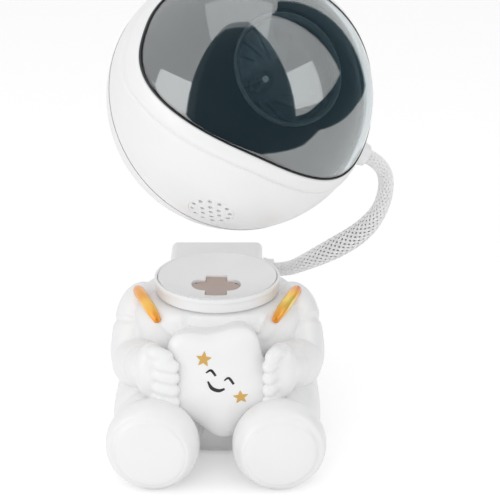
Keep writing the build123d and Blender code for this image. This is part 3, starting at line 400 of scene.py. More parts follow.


# hose: braided sleeve over a grey core, from the helmet's ear to the backpack; the core's grey is partly
# painted shade for the dark inside of the braid
hose = Values(
    earStraight=8.0,  # out of each end fitting
    glandStraight=6.5,
    reach=64.0,  # its start, from the helmet's centre
    glandEnd=(26.0, 33.0, 67.0),
    bends=[(76.6, 14.6, 117.0), (74.0, 17.3, 102.5), (65.8, 22.0, 89.8),
           (53.5, 27.5, 79.6), (41.0, 31.6, 71.4)],
    radii=[3.2, 3.2, 3.4, 3.6, 4.5, 5.0, 5.0, 4.3, 3.4, 3.0],
    coreShare=0.72,  # the core's radius in the sleeve's
    parting=0.5,  # share of the length where the two halves meet
    carriers=12,  # yarns that wind each way
    pitch=40.0,
    filaments=3,
    filamentRadius=0.19,
    filamentStep=0.3952,  # between the middles of two filaments
    weave=0.2,  # how far a yarn rises over the other and dips under it
    diameter=8.0,
)


def hoseRoute():
    # control points in millimetres, the same route as the solid's
    start = helmetCentre / mm + earAxis * hose.reach
    end = np.array(hose.glandEnd)
    return np.array([start, start + earAxis * hose.earStraight, *hose.bends,
                     end + np.array([hose.glandStraight, 0, 0]), end])


def splinePoints(controlPoints):
    # points of the NURBS curve that has these control points, in millimetres
    data = bpy.data.curves.new("hoseRoute", "CURVE")
    data.dimensions = "3D"
    data.resolution_u = 32
    spline = data.splines.new("NURBS")
    spline.points.add(len(controlPoints) - 1)
    flat = np.hstack([controlPoints * mm, np.ones((len(controlPoints), 1))])
    spline.points.foreach_set("co", flat.ravel())
    spline.order_u = 3
    spline.use_endpoint_u = True
    carrier = addObject("hoseRoute", data)
    mesh = bpy.data.meshes.new_from_object(carrier)
    points = np.zeros(len(mesh.vertices) * 3)
    mesh.vertices.foreach_get("co", points)
    bpy.data.objects.remove(carrier)
    return points.reshape(-1, 3) / mm


def evenly(points, low, high, count):
    # points spread evenly along a line, between two shares of its length
    steps = np.linalg.norm(np.diff(points, axis=0), axis=1)
    reach = np.concatenate([[0], np.cumsum(steps)])
    wanted = np.linspace(low, high, count) * reach[-1]
    return np.stack([np.interp(wanted, reach, points[:, k]) for k in range(3)], -1), wanted


def hoseRadius(along, high):
    # the sleeve's radius at lengths that end at the share high of the whole hose
    shares = np.linspace(0, 1, len(hose.radii))
    return np.interp(along / (along[-1] / high), shares, hose.radii)


def braidHalf(name, low, high, count):
    # yarns on a helix of angle 2 pi s / pitch, rising and dipping by cos(pi u) at crossing u
    centres, along = evenly(hoseLine, low, high, count)
    tangents = unit(np.gradient(centres, axis=0))
    first, second = sideways(tangents, np.array([0.0, 1.0, 0.0]))
    radius = hoseRadius(along, high)
    carriers, pitch = hose.carriers, hose.pitch
    crossing = np.cos(np.pi * 2 * carriers * along / pitch)
    turn = fullTurn(6)
    grids = []
    for way in (1, -1):
        height = radius + hose.weave * (way * crossing - 1)
        for carrier in range(carriers):
            angle = 2 * np.pi * (way * along / pitch + carrier / carriers)
            outwards = np.cos(angle)[:, None] * first + np.sin(angle)[:, None] * second
            yarn = centres + outwards * height[:, None]
            beside = np.cross(outwards, unit(np.gradient(yarn, axis=0)))
            ring = (
                np.cos(turn)[None, :, None] * outwards[:, None]
                + np.sin(turn)[None, :, None] * beside[:, None]
            )
            for filament in range(hose.filaments):
                offset = (filament - (hose.filaments - 1) / 2) * hose.filamentStep
                middle = yarn + beside * offset
                grids.append(grid(middle[:, None] + ring * hose.filamentRadius))
    return newPiece(name, grids, yarnWhite, 80.0), centres


def coreHalf(name, low, high):
    # plain inner tube, thinner than the sleeve, whose grey partly paints the shade seen through the braid's
    # gaps
    centres, along = evenly(hoseLine, low, high, 60)
    radius = hoseRadius(along, high) * hose.coreShare
    return newPiece(name, [tube(centres, radius, (0.0, 1.0, 0.0), 24, roundEnds=False)], coreGreyAndShade)


hoseLine = splinePoints(hoseRoute())
meeting = evenly(hoseLine, hose.parting, hose.parting, 1)[0][0]
halves = (
    # name, shares of the length, steps, bodies it joins, ends of the blend, its fitting, way out of it
    ("upper", (0.0, hose.parting), 110, ("hose", "swivel"), (meeting, hoseLine[0]), hoseLine[0], 1),
    ("lower", (hose.parting, 1.0), 150, ("base", "hose"), (hoseLine[-1], meeting), hoseLine[-1], -1),
)
braids = [braidHalf(f"hose_{half[0]}_braid", *half[1], half[2]) for half in halves]
cores = [coreHalf(f"hose_{half[0]}_core", *half[1]) for half in halves]
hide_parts("hose")
for (_, (low, high), _, bodies, ends, fitting, way), (braid, path), core in zip(halves, braids, cores):
    for piece in (braid, core):
        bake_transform(piece)


# helmet: points are (ear, face, up) about its centre until onHelmet places them
helmet = Values(
    radius=57.0, wall=2.4, segments=320, rows=90,
    opening=(53.8, 39.7), lip=(56.5, 44.4), power=2.3,
    # share of the way from the opening to the lip, height over the ball
    lipProfile=[(0, -2.4), (0, -1.2), (0, -0.2), (0.03, 0.2), (0.09, 0.45), (0.18, 0.6),
                (0.3, 0.68), (0.5, 0.7), (0.7, 0.66), (0.82, 0.52), (0.91, 0.3), (0.965, 0.1)],
    # the same share, and the part of the groove's depth
    grooveProfile=[(0.99, 0.5), (1.01, 1.0), (1.05, 1.0), (1.08, 0.5), (1.12, 0.0)],
    groove=0.4, grooveSides=0.04, grooveSpan=(0.15, 0.8),
    seamBack=9.2, seamLean=1.0, seamGap=0.12,
    seamStep=0.15,  # how far the rear ball stands out
    seamTilt=0.002, rollDepths=(0.03, 0.3),  # the front edge's rounding
)


def onHelmet(gridMade):
    # moves a grid from the helmet's own axes into the frame
    points, quads = gridMade
    axes = np.stack([earAxis, faceAxis, upAxis])
    return points @ axes + helmetCentre / mm, quads


def onBall(x, z, radius):
    # the point of the ball in front of (x, z) on the face plane, taken to a radius
    y = np.sqrt(np.maximum(helmet.radius ** 2 - x**2 - z**2, 0))
    return np.stack([x, y, z], -1) * np.asarray(radius / helmet.radius)[..., None]


def between(start, end, shares):
    # great-circle steps from start to end, both directions from the centre
    start, end = unit(start), unit(end)
    angle = np.arccos(np.clip((start * end).sum(-1), -1, 1))[None, :, None]
    t = np.asarray(shares)[:, None, None]
    return (np.sin((1 - t) * angle) * start + np.sin(t * angle) * end) / np.sin(angle)


around = fullTurn(helmet.segments)
openingX, openingZ = superellipse(around, *helmet.opening, helmet.power)
lipX, lipZ = superellipse(around, *helmet.lip, helmet.power)
lean = math.radians(helmet.seamLean)
seamNormal = np.array([0, -math.cos(lean), -math.sin(lean)])


def seamRing(shift):
    # the ring where the ball meets the parting plane, moved back by shift
    depth = helmet.seamBack * math.cos(lean) + shift
    reach = math.sqrt(helmet.radius ** 2 - depth**2)
    inPlane = np.array([0, -math.sin(lean), math.cos(lean)])
    side = np.array([1.0, 0, 0])
    return (
        depth * seamNormal
        + reach * np.cos(around)[:, None] * side
        + reach * np.sin(around)[:, None] * inPlane
    )


def frontShell():
    # wall of the opening, rounded lip, groove, ball, rolled seam edge, then the inside
    radius, wall = helmet.radius, helmet.wall
    depth = helmet.groove * smoothStep(-np.sin(around), *helmet.grooveSpan) + helmet.grooveSides
    heights = [(q, h + 0 * depth) for q, h in helmet.lipProfile]
    heights += [(q, -share * depth) for q, share in helmet.grooveProfile]
    rows = [
        onBall(openingX + (lipX - openingX) * q, openingZ + (lipZ - openingZ) * q, radius + h)
        for q, h in heights
    ]
    ball = between(rows[-1], seamRing(-helmet.seamGap), np.linspace(0, 1, helmet.rows)[1:]) * radius
    edge = unit(ball[-1])
    rolled = unit(edge - seamNormal * helmet.seamTilt)
    outer, inner = helmet.rollDepths
    roll = [rolled * (radius - outer), edge * (radius - inner), edge * (radius - wall)]
    inside = between(edge, rows[0], np.linspace(0, 1, 24)[1:-1]) * (radius - wall)
    return grid(np.concatenate([rows, ball, roll, inside]), closeRows=True)


def rearShell():
    # ball from the seam back to its pole, and the inside the other way
    radius, wall = helmet.radius + helmet.seamStep, helmet.wall
    seam = seamRing(helmet.seamGap)
    pole = np.broadcast_to(seamNormal, seam.shape)
    shares = np.linspace(0, 1, 80)
    ball = between(seam, pole, shares) * radius
    inside = between(seam, pole, shares[::-4]) * (radius - wall)
    return grid(np.concatenate([ball, inside]), closeRows=True)


# speaker grille: a disc let into the front shell near the ball's lowest point
grille = Values(
    lean=7.4, radius=9.7, gap=0.04, seat=(45, 62), thickness=1.5,
    edge=(0.25, 0.08, 0.16),  # the rim's rounding: two steps out and one down
    hole=0.95, drill=(50, 60), rings=((0.0, 1), (4.0, 6), (8.0, 12)),
)
grilleTilt = math.radians(grille.lean)
grilleAxis = np.array([0, math.sin(grilleTilt), -math.cos(grilleTilt)])
grilleSide = np.array([1.0, 0, 0])


def rodAlong(radius, low, high, segments=48, **place):
    # closed cylinder between two heights; place may hold lathe's origin, axis and side
    return lathe([(0, low), (radius, low), (radius, high), (0, high)], segments, **place)


helmetFront = newPiece("helmet_front", [onHelmet(frontShell())], glossWhite)
onGrille = {"axis": grilleAxis, "side": grilleSide}
seat = rodAlong(grille.radius + grille.gap, *grille.seat, 96, **onGrille)
cutAway(helmetFront, [onHelmet(seat)])
mount(helmetFront, "head", "helmet_front_shell")

# screw holes and vents of the rear shell
rearHoles = Values(
    ring=49.5, angles=(-20.0, -58.0, 200.0, 238.0), screw=2.85, depths=(20.0, 60),
    slots=5, slotStep=6.0, slotHalf=(1.2, 9.0), slotZ=-18.0, slotDepths=(-30, -62),
)


def ventBar(x):
    # closed bar with half-round ends that cuts one slot of the rear shell
    halfWidth, halfHeight = rearHoles.slotHalf
    turn = fullTurn(32)
    z = halfWidth * np.sin(turn) + np.sign(np.sin(turn)) * (halfHeight - halfWidth)
    outline = np.stack([x + halfWidth * np.cos(turn), np.zeros(32), rearHoles.slotZ + z], -1)
    return prism(outline, (0, 1, 0), rearHoles.slotDepths)


helmetRear = newPiece("helmet_rear", [onHelmet(rearShell())], glossWhite)
cutters = []
for angle in rearHoles.angles:
    x = rearHoles.ring * math.cos(math.radians(angle))
    z = rearHoles.ring * math.sin(math.radians(angle))
    hole = rodAlong(rearHoles.screw, *rearHoles.depths, origin=(x, 0, z), axis=(0, -1, 0))
    cutters.append(onHelmet(hole))
for slot in range(rearHoles.slots):
    cutters.append(onHelmet(ventBar((slot - (rearHoles.slots - 1) / 2) * rearHoles.slotStep)))
cutAway(helmetRear, cutters)
mount(helmetRear, "head", "helmet_rear_shell")


def grilleDisc():
    # disc cut from the ball about the grille's axis, with a softened rim
    radius, edge = grille.radius, grille.edge
    out = np.concatenate([np.linspace(0, radius - edge[0], 30), [radius - edge[1]]])
    top = np.sqrt(helmet.radius ** 2 - out**2)
    floor = math.sqrt(helmet.radius ** 2 - radius**2) - grille.thickness
    rim = [(radius, top[-1] - edge[2]), (radius, floor), (0, floor)]
    profile = np.vstack([np.stack([out, top], -1), rim])
    return lathe(profile, 96, **onGrille)


speakerGrille = newPiece("grille", [onHelmet(grilleDisc())], glossWhite)
across = np.cross(grilleAxis, grilleSide)
drills = []
for ringRadius, count in grille.rings:
    for step in range(count):
        angle = 2 * math.pi * step / count
        centre = ringRadius * (math.cos(angle) * grilleSide + math.sin(angle) * across)
        drill = rodAlong(grille.hole, *grille.drill, 20, origin=centre, **onGrille)
        drills.append(onHelmet(drill))
cutAway(speakerGrille, drills)
mount(speakerGrille, "head", "speaker_grille")


# visor: a closed cap behind the opening, with its edge rounded
visor = Values(
    outer=57.25, thickness=2.6, gap=0.5,
    # (share of the outline, height over the outer radius)
    edge=[(0.997, -0.06), (1.0, -0.35), (1.0, -2.6)],
    # rows of the black ring that paints the shade at the visor's edge
    seal=[(0.991, 0.1), (0.992, 0.25), (0.994, 0.3), (0.997, 0.3), (0.999, 0.25), (1.0, 0.1),
          (1.0, -1.5), (0.991, -1.5)],
)


def visorRows(gap, shares, closeRows=False):
    # rings on the ball: (share of the opening's outline less gap, radius)
    x, z = superellipse(around, helmet.opening[0] - gap, helmet.opening[1] - gap, helmet.power)
    rows = [onBall(x * share, z * share, radius) for share, radius in shares]
    return grid(np.stack(rows), closeRows)


def visorCap():
    # from the middle out to the opening's outline, over the edge and back inside
    outer, inner = visor.outer, visor.outer - visor.thickness
    shares = np.linspace(0, 1, 70)
    rows = [(share, outer) for share in shares * 0.992]
    rows += [(share, outer + rise) for share, rise in visor.edge]
    rows += [(share, inner) for share in shares[::-1][1:]]
    return visorRows(visor.gap, rows)


# thin black ring of rounded square section round the visor's edge: painted shade for the dark gap between
# the visor and the lip
paintedEdgeShadeRows = [(share, visor.outer + rise) for share, rise in visor.seal]
seal = visorRows(0, paintedEdgeShadeRows, closeRows=True)
paintedEdgeShadePiece = newPiece("visor_painted_edge_shade", [onHelmet(seal)], blackSatin, 50.0)
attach(paintedEdgeShadePiece, "head")
mount(newPiece("visor_window", [onHelmet(visorCap())], visorTint), "head", "visor")

# projector behind the visor
optics = Values(
    front=44.45, drop=2.0, lensRadius=21.4, ringRadius=23.1, ringHeight=3.6,
    lensHeight=7.0, lensSeat=0.6, edge=1.2, lensGap=0.05, shelf=0.85,
)


def lensProfile():
    # circular arc from rim to crown, over a flat back
    rise = optics.lensHeight - optics.edge
    arcRadius = (optics.lensRadius ** 2 + rise**2) / (2 * rise)
    out = np.linspace(0, optics.lensRadius, 40)
    base = optics.front + optics.lensSeat
    crown = base + optics.lensHeight - arcRadius + np.sqrt(arcRadius**2 - out**2)
    return np.vstack([np.stack([out, crown], -1), [(optics.lensRadius, base), (0, base)]])


def ringProfile():
    # ring with a rounded front edge that holds the lens
    front, outer, top = optics.front, optics.ringRadius, optics.front + optics.ringHeight
    inner, seat = optics.lensRadius + optics.lensGap, front + optics.lensSeat
    return [
        (outer, front), (outer, top - 0.4), (outer - 0.12, top - 0.12), (outer - 0.4, top),
        (outer - 0.7, top - 0.1), (inner, top - 1.4), (inner, seat),
        (inner - optics.shelf, seat), (inner - optics.shelf, front), (outer, front),
    ]


for name, profile, material, node, slotName in (
    ("lens_dome", lensProfile(), lensClear, "projector_lens", "lens_glass"),
    ("lens_holder", ringProfile(), satinSilver, "lens_ring", "black_plastic"),
):
    turned = lathe(profile, origin=(0, 0, -optics.drop), axis=(0, 1, 0))
    mount(newPiece(name, [onHelmet(turned)], material), "head", node)


# collar ring and seat bowl
collar = Values(
    rim=78.0, foot=70.8, dish=26.7, lip=28.3, wall=27.6, lipHeight=2.0,
    footRadius=25.4, undercut=1.0, undercutRadius=26.2,
    parting=0.25,  # between the ring and the bowl
    round=0.35, lipRound=0.5,
    bowlRadius=57.5, dishWall=1.6, dishSkirt=4.0,
)
bowlCentre = collar.rim + math.sqrt(collar.bowlRadius ** 2 - collar.dish ** 2)


def quarter(start, end, corner, steps=5):
    # rounded corner between two profile points, bulging towards corner
    t = np.linspace(0, np.pi / 2, steps)[:, None]
    start, end, corner = np.array(start), np.array(end), np.array(corner)
    return start + (corner - start) * np.sin(t) + (end - corner) * (1 - np.cos(t))


def collarProfile():
    # foot, inner edge, rounded rim, lip, step back to the wall, undercut over the shoulders
    inner = collar.dish + collar.parting
    rim, lip, wall, foot = collar.rim, collar.lip, collar.wall, collar.foot
    small, large = collar.round, collar.lipRound
    lipFoot, footRadius = rim - collar.lipHeight, collar.footRadius
    under, ledge = foot + collar.undercut, foot + 2 * collar.undercut
    return np.vstack([
        [(footRadius, foot), (footRadius, ledge), (inner, ledge)],
        quarter((inner, rim - small), (inner + small, rim), (inner, rim)),
        quarter((lip - large, rim), (lip, rim - large), (lip, rim)),
        quarter((lip, lipFoot + small), (lip - 0.3, lipFoot), (lip, lipFoot)),
        [(wall, lipFoot - 0.05), (wall, under), (collar.undercutRadius, under),
         (collar.undercutRadius, foot), (footRadius, foot)],
    ])


collarRing = lathe(collarProfile(), 256)
mount(newPiece("collar", [collarRing], glossWhite), "base", "collar_ring")

# window in the bowl: a slot (length along X, width) across a post (width, length along Y)
seatCross = Values(
    centre=(-0.6, 1.2), bar=(22.4, 11.0), barBack=1.2, barBlunt=0.7,
    post=(9.9, 21.8), corner=0.8, through=(60, 80),
    # the plate in it: gap round it, depth of its top, height, and its bitten back corners
    gap=0.2, recess=0.8, foot=3.6, bite=1.3, biteAngle=0.85, biteWidth=0.4,
)


def bowlForm():
    # ball-shaped bowl with a rounded rim and a wall under it
    radius, back = collar.bowlRadius, collar.bowlRadius + collar.dishWall
    out = np.linspace(0, collar.dish - 0.2, 60)
    top = bowlCentre - np.sqrt(radius**2 - out**2)
    under = np.linspace(collar.dish - 2.5, 0, 30)
    bottom = bowlCentre - np.sqrt(back**2 - under**2)
    rim = [(collar.dish - 0.05, collar.rim + 0.08), (collar.dish, collar.rim - 0.15),
           (collar.dish, collar.rim - collar.dishSkirt)]
    profile = np.vstack([np.stack([out, top], -1), rim, np.stack([under, bottom], -1)])
    return lathe(profile, 192)


def crossOutline(gap, bite=0.0):
    # slot with blunt round ends across a post with rounded corners; bite cuts its back corners
    half, radius = seatCross.bar[0] / 2 - gap, seatCross.bar[1] / 2 - gap
    side, high = seatCross.post[0] / 2 - gap, seatCross.post[1] / 2 - gap
    back, corner = seatCross.barBack, seatCross.corner
    t = np.linspace(-np.pi / 2, np.pi / 2, 32)
    reach = radius - bite * np.exp(-(((t - seatCross.biteAngle) / seatCross.biteWidth) ** 2))
    end = half - radius + reach * np.cos(t) ** seatCross.barBlunt
    right = np.vstack([
        quarter((side - corner, -high), (side, -high + corner), (side, -high)),
        [(side, back - radius)],
        np.column_stack([end, back + reach * np.sin(t)]),
        [(side, back + radius)],
        quarter((side, high - corner), (side - corner, high), (side, high)),
    ])
    return np.vstack([right, right[::-1] * (-1, 1)]) + seatCross.centre


def plateForm(outline, shares=8):
    # cross-shaped boss of the plate: its top follows the bowl, a little below it
    middle = np.array(seatCross.centre)
    rings = middle + np.linspace(0, 1, shares)[:, None, None] * (outline - middle)[None]
    radius = collar.bowlRadius + seatCross.recess
    top = bowlCentre - np.sqrt(radius**2 - (rings**2).sum(-1))
    bottom = top.min() - seatCross.foot
    upper = np.concatenate([rings, top[..., None]], -1)
    lower = np.concatenate([rings[::-1], np.full((shares, len(outline), 1), bottom)], -1)
    return grid(np.concatenate([upper, lower]))


bowlPiece = newPiece("seat_bowl", [bowlForm()], bowlWhite)
window = crossOutline(0)
window = np.column_stack([window, np.zeros(len(window))])
cutAway(bowlPiece, [prism(window, (0, 0, 1), seatCross.through)])
mount(bowlPiece, "base", "seat_dish")
plate = plateForm(crossOutline(seatCross.gap, seatCross.bite))
mount(newPiece("plate_cross", [plate], tanPlate), "base", "magnet_plate")


# torso in two halves
torso = Values(
    power=2.5,
    # height, half width, half depth, centre y
    sections=[(1.5, 30.0, 28.0, 5.0), (3.0, 31.2, 29.2, 5.0), (16, 36.0, 34.0, 4.0),
              (34, 36.0, 32.5, 2.0), (50, 36.0, 31.0, 0.0), (61, 37.5, 31.0, 0.0),
              (66.3, 36.4, 30.4, 0.0), (69.3, 33.4, 29.6, 0.0), (70.6, 29.6, 28.6, 0.0),
              (70.9, 26.0, 25.8, 0.0)],
    # ridges on the chest: start and end (x, z), width, height
    folds=[((-14.8, 69.4), (-12.5, 64.0), 1.1, 2.0), ((21.2, 69.4), (18.2, 64.0), 1.2, 2.0),
           ((-24.0, 66.0), (-17.0, 60.5), 1.8, 1.0), ((27.0, 66.0), (22.0, 60.5), 1.8, 1.0)],
    inside=(0.92, 0.92, 1), insideShift=(0, 0.2, 0),
    seamAngle=0.004,
)


def foldHeight(x, z, start, end, width, height):
    # ridge of a bell-shaped section along a line on the chest
    start, end = np.array(start), np.array(end)
    along = end - start
    t = np.clip(((x - start[0]) * along[0] + (z - start[1]) * along[1]) / (along @ along), 0, 1)
    distance = np.hypot(x - start[0] - t * along[0], z - start[1] - t * along[1])
    return height * np.exp(-((distance / width) ** 2))


def torsoHalf(low, high):
    # superellipse sections between two angles, with folds on the front
    sections = curveThrough(torso.sections, 150)
    angles = np.linspace(low, high, 160)[None, :]
    across, forth = superellipse(angles, 1.0, 1.0, torso.power)
    z = sections[:, :1] * np.ones_like(across)
    x = sections[:, 1:2] * across
    y = sections[:, 3:4] + sections[:, 2:3] * forth
    for start, end, width, height in torso.folds:
        y = y - foldHeight(x, z, start, end, width, height) * (forth < 0)
    outside = np.stack([x, y, z], -1)
    inside = outside * torso.inside + np.array(torso.insideShift)
    return grid(np.concatenate([outside, inside[::-1]]), closeRows=True, closeColumns=False)


seamAngle = torso.seamAngle
for name, start in (("front", math.pi), ("rear", 0.0)):
    # each half's two long edges are closed
    half = torsoHalf(start + seamAngle, start + math.pi - seamAngle)
    torsoPiece = newPiece(f"torso_{name}", [half], suitWhite, 40.0, closed=True)
    mount(torsoPiece, "base", f"torso_{name}_shell")

# opening of the charging socket in the rear half: a slot with half-round ends, between two depths
usb = Values(z=19.0, width=9.3, height=3.6, cut=(30, 45))
endTurn = np.linspace(-np.pi / 2, np.pi / 2, 16)
usbX = (usb.width - usb.height) / 2 + usb.height / 2 * np.cos(endTurn)
usbZ = usb.height / 2 * np.sin(endTurn)
usbX, usbZ = np.concatenate([usbX, -usbX]), np.concatenate([usbZ, -usbZ])
usbOutline = np.column_stack([usbX, 0 * usbX, usb.z + usbZ])
cutAway(torsoPiece, [prism(usbOutline, (0, 1, 0), usb.cut)], 40.0)


# arms: padded sleeve, then a glove fused from a palm, a thumb and four fingers
sides = ((-1, "left"), (1, "right"))
arm = Values(
    # x (outwards), y, z, radius
    sleeve=[(28.0, 2.5, 65.0, 8.0), (32.3, 1.5, 63.3, 10.8), (34.3, 0.5, 58.5, 11.8),
            (35.3, -2.0, 51.5, 12.4), (36.0, -6.0, 44.0, 12.6), (35.4, -12.0, 41.2, 12.3),
            (33.4, -20.0, 43.2, 11.7), (31.2, -28.0, 46.4, 10.8), (29.4, -34.5, 48.8, 9.4)],
    # share of its length, width as a share of it, depth
    creases=[(0.3, 0.018, -1.1), (0.6, 0.03, -0.35), (0.9, 0.02, -0.8)],
    sway=0.02, swayPhase=9,
    palm=(28.0, -39.0, 49.4), palmRadii=(7.4, 7.0, 13.4),
    thumb=[(29.5, -38.5, 58.4), (26.0, -43.3, 60.0)], thumbTip=(-45.2, 58.8),
    thumbTipX={-1: 21.3, 1: 24.2}, thumbRadius=3.3,
    fingerZ=(55.7, 50.3, 44.5, 38.8), fingerRadius=3.05, drop=0.7,
    knuckle=(28.0, -39.5), bend=(24.0, -45.2), tipY=-46.4,
    tipX={-1: 18.4, 1: 22.8},
    voxel=0.55, smoothing=6,
)


def ringFolds(creases, sway, phase=0):
    # sum of bell-shaped dents exp(-(s / width)^2) round a tube, swaying by sin(2 turn + place * phase)
    def folds(along, turn):
        return sum(
            depth * np.exp(-(((along - (place + sway * np.sin(2 * turn + place * phase))) / width) ** 2))
            for place, width, depth in creases
        )

    return folds


def sleeveGrid(side):
    # circles of changing radius along the arm, pinched at the creases
    rows = curveThrough(arm.sleeve, 90)
    return tube(rows[:, :3] * np.array([side, 1, 1]), rows[:, 3], (0.2, 0.3, 1.0), 64,
                folds=ringFolds(arm.creases, arm.sway, arm.swayPhase))


def gloveGrids(side):
    # a ball for the palm and capsules that overlap; the remesh fuses them
    thumbEnd = (arm.thumbTipX[side], *arm.thumbTip)
    routes = [([*arm.thumb, thumbEnd], 12, arm.thumbRadius)]
    for z in arm.fingerZ:
        tip = (arm.tipX[side], arm.tipY, z - arm.drop)
        route = [(*arm.knuckle, z + arm.drop / 2), (*arm.bend, z), tip]
        routes.append((route, 14, arm.fingerRadius))
    mirror = np.array([side, 1, 1])
    return [ellipsoid(np.array(arm.palm) * mirror, arm.palmRadii)] + [
        tube(curveThrough(route, count) * mirror, np.full(count, radius), (0.1, 0.2, 1.0), 24)
        for route, count, radius in routes
    ]


for side, sideName in sides:
    piece = newPiece(f"{sideName}_arm_suit", [sleeveGrid(side), *gloveGrids(side)], suitWhite)
    # overlapping forms become one skin, softened where they meet
    remesh = piece.modifiers.new("fuse", "REMESH")
    remesh.mode = "VOXEL"
    remesh.voxel_size = arm.voxel * mm
    soften = piece.modifiers.new("soften", "SMOOTH")
    soften.factor = 0.5
    soften.iterations = arm.smoothing
    applyModifiers(piece, 60.0)
    mount(piece, "base", f"{sideName}_arm")


# legs with boots
leg = Values(
    # y, x (outwards), z, radius
    rows=[(16.0, 22.5, 21.0, 17.0), (4.0, 23.5, 21.6, 21.6), (-12.0, 24.6, 21.5, 21.8),
          (-28.0, 25.7, 20.9, 20.6), (-36.0, 26.3, 20.4, 18.6), (-42.0, 26.7, 20.4, 17.7),
          (-46.0, 27.0, 20.6, 18.9), (-51.0, 27.3, 20.8, 20.4), (-56.0, 27.7, 20.9, 19.9),
          (-59.6, 27.9, 20.9, 18.0), (-61.4, 28.1, 20.9, 15.4)],
    toe=1.6,  # how far the toe's cap stands out
    creases=[(0.36, 0.03, -0.6), (0.5, 0.02, -0.5)], sway=0.01,
    lowest=0.02,
)


def legGrid(side):
    # circles along the leg, flattened underneath where it rests
    rows = curveThrough(leg.rows, 140)
    centres = np.stack([rows[:, 1] * side, rows[:, 0], rows[:, 2]], -1)
    points, quads = tube(centres, rows[:, 3], (0.0, 0.0, 1.0), 96,
                         folds=ringFolds(leg.creases, leg.sway), endReach=leg.toe)
    points[:, 2] = np.maximum(points[:, 2], leg.lowest)
    return points, quads


for side, sideName in sides:
    piece = newPiece(f"{sideName}_leg_suit", [legGrid(side)], suitWhite, 50.0)
    mount(piece, "base", f"{sideName}_leg")


# star pillow with a printed sleeping face
pillow = Values(
    centre=(0.7, -40.0, 45.6), tip=27.8, notch=22.4, turn=61.0,
    thickness=7.2, tipPower=1.15, seamPowers=(2.4, 0.55),
    root=15.0, rootShare=0.9,  # its sides run back to the belly
)


def starReach(angle):
    # radius of a five-pointed outline with round tips and shallow notches
    wave = 0.5 + 0.5 * np.cos(5 * (angle - math.radians(pillow.turn)))
    return pillow.notch + (pillow.tip - pillow.notch) * wave ** pillow.tipPower


def starHeight(share):
    # pillow section (1 - share^a)^b: full in the middle, steep at the seam
    a, b = pillow.seamPowers
    return pillow.thickness * np.clip(1 - share**a, 0, 1) ** b


def starGrid():
    # domed front from its middle out to the seam, then the sides back and a flat back
    share = np.sin(np.linspace(0, np.pi / 2, 70))
    height = -starHeight(share)
    back = np.linspace(0, 1, 12)[1:]
    side = 1 + (pillow.rootShare - 1) * smoothStep(back, 0, 1)
    share = np.concatenate([share, side, [0]])[:, None]
    height = np.concatenate([height, pillow.root * back, [pillow.root]])[:, None]
    angle = fullTurn(360)[None, :]
    reach = share * starReach(angle)
    points = [reach * np.cos(angle), height * np.ones_like(angle), reach * np.sin(angle)]
    return grid(np.stack(points, -1) + np.array(pillow.centre))


mount(newPiece("star_cushion", [starGrid()], suitWhite, 80.0), "base", "star_pillow")

prints = Values(
    lift=0.05, paint=0.06,
    starSize=3.5, starNotch=0.45,
    # middle on the pillow and turn
    stars={"upper": ((-5.8, 12.8), 0.2), "lower": ((10.0, -5.0), 0.4)},
    # points on the pillow and the stroke's width at each
    strokes={
        "eye_left": ([(-4.9, 6.8), (-2.7, 7.9), (-0.7, 5.4)], [0.5, 1.1, 1.0]),
        "eye_right": ([(2.9, 3.2), (4.9, 4.3), (7.0, 1.4)], [0.5, 1.1, 1.0]),
        "smile": ([(-4.1, 2.8), (-2.4, -0.4), (0.5, -1.6), (3.1, -0.8)], [0.7, 1.6, 1.6, 0.9]),
    },
)


def onStar(u, v):
    # point of the pillow's front over (u, v) from its middle, raised a little
    share = np.hypot(u, v) / starReach(np.arctan2(v, u))
    x, y, z = pillow.centre
    return np.stack([x + u, y - starHeight(share) - prints.lift, z + v], -1)


def newPrint(name, gridMade, material):
    # thin layer of paint that rides with the pillow
    piece = newPiece(name, [gridMade], material, 80.0)
    thick = piece.modifiers.new("paint", "SOLIDIFY")
    thick.thickness = prints.paint * mm
    thick.offset = 1.0
    applyModifiers(piece, 60.0)
    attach(piece, "base")


for name, (centre, turn) in prints.stars.items():
    # flat five-pointed star: its outline is straight between a tip and a notch
    angle = fullTurn(80)
    phase = np.abs(((angle * 5 / (2 * np.pi)) % 1) - 0.5) * 2
    outline = 1 / (1 / prints.starNotch + (1 - 1 / prints.starNotch) * phase) * prints.starSize
    share = np.linspace(0, 1, 8)[:, None]
    u = centre[0] + share * outline * np.cos(angle + turn)
    v = centre[1] + share * outline * np.sin(angle + turn)
    newPrint(f"print_star_{name}", grid(onStar(u, v)), printGold)

for name, (points, widths) in prints.strokes.items():
    # tapered stroke
    rows = curveThrough(np.column_stack([points, widths]), 40)
    heading = unit(np.gradient(rows[:, :2], axis=0))
    beside = np.stack([-heading[:, 1], heading[:, 0]], -1)
    across = np.linspace(-0.5, 0.5, 7)[None, :, None]
    flat = rows[:, None, :2] + across * beside[:, None] * rows[:, None, 2:3]
    newPrint(f"print_{name}", grid(onStar(flat[..., 0], flat[..., 1]), closeColumns=False), printBlack)


# backpack
pack = Values(
    halfWidth=21.4, middle=-0.9, back=44.0, bottom=28.0, top=77.3, front=12.0,
    round=3.0, collarHole=28.35, collarCut=(71.0, 90),
)


def roundedBox(low, high, radius, count=20):
    # box with all edges rounded: each point of a ball moved out to its own corner
    low, high = np.array(low, float), np.array(high, float)
    middle, half = (low + high) / 2, (high - low) / 2 - radius
    lift = np.linspace(-np.pi / 2, np.pi / 2, 2 * count)[:, None]
    # turned a little, so that no point lies between two corners
    ball = directions(lift, fullTurn(4 * count)[None, :] + 1e-4)
    corner = np.clip(ball * 1e6, -1, 1)
    return grid(middle + ball * radius + corner * half)


packLow = (pack.middle - pack.halfWidth, pack.front, pack.bottom)
packHigh = (pack.middle + pack.halfWidth, pack.back, pack.top)
packPiece = newPiece("backpack_shell", [roundedBox(packLow, packHigh, pack.round)], suitWhite)
cutAway(packPiece, [rodAlong(pack.collarHole, *pack.collarCut, 160)])
mount(packPiece, "base", "backpack")


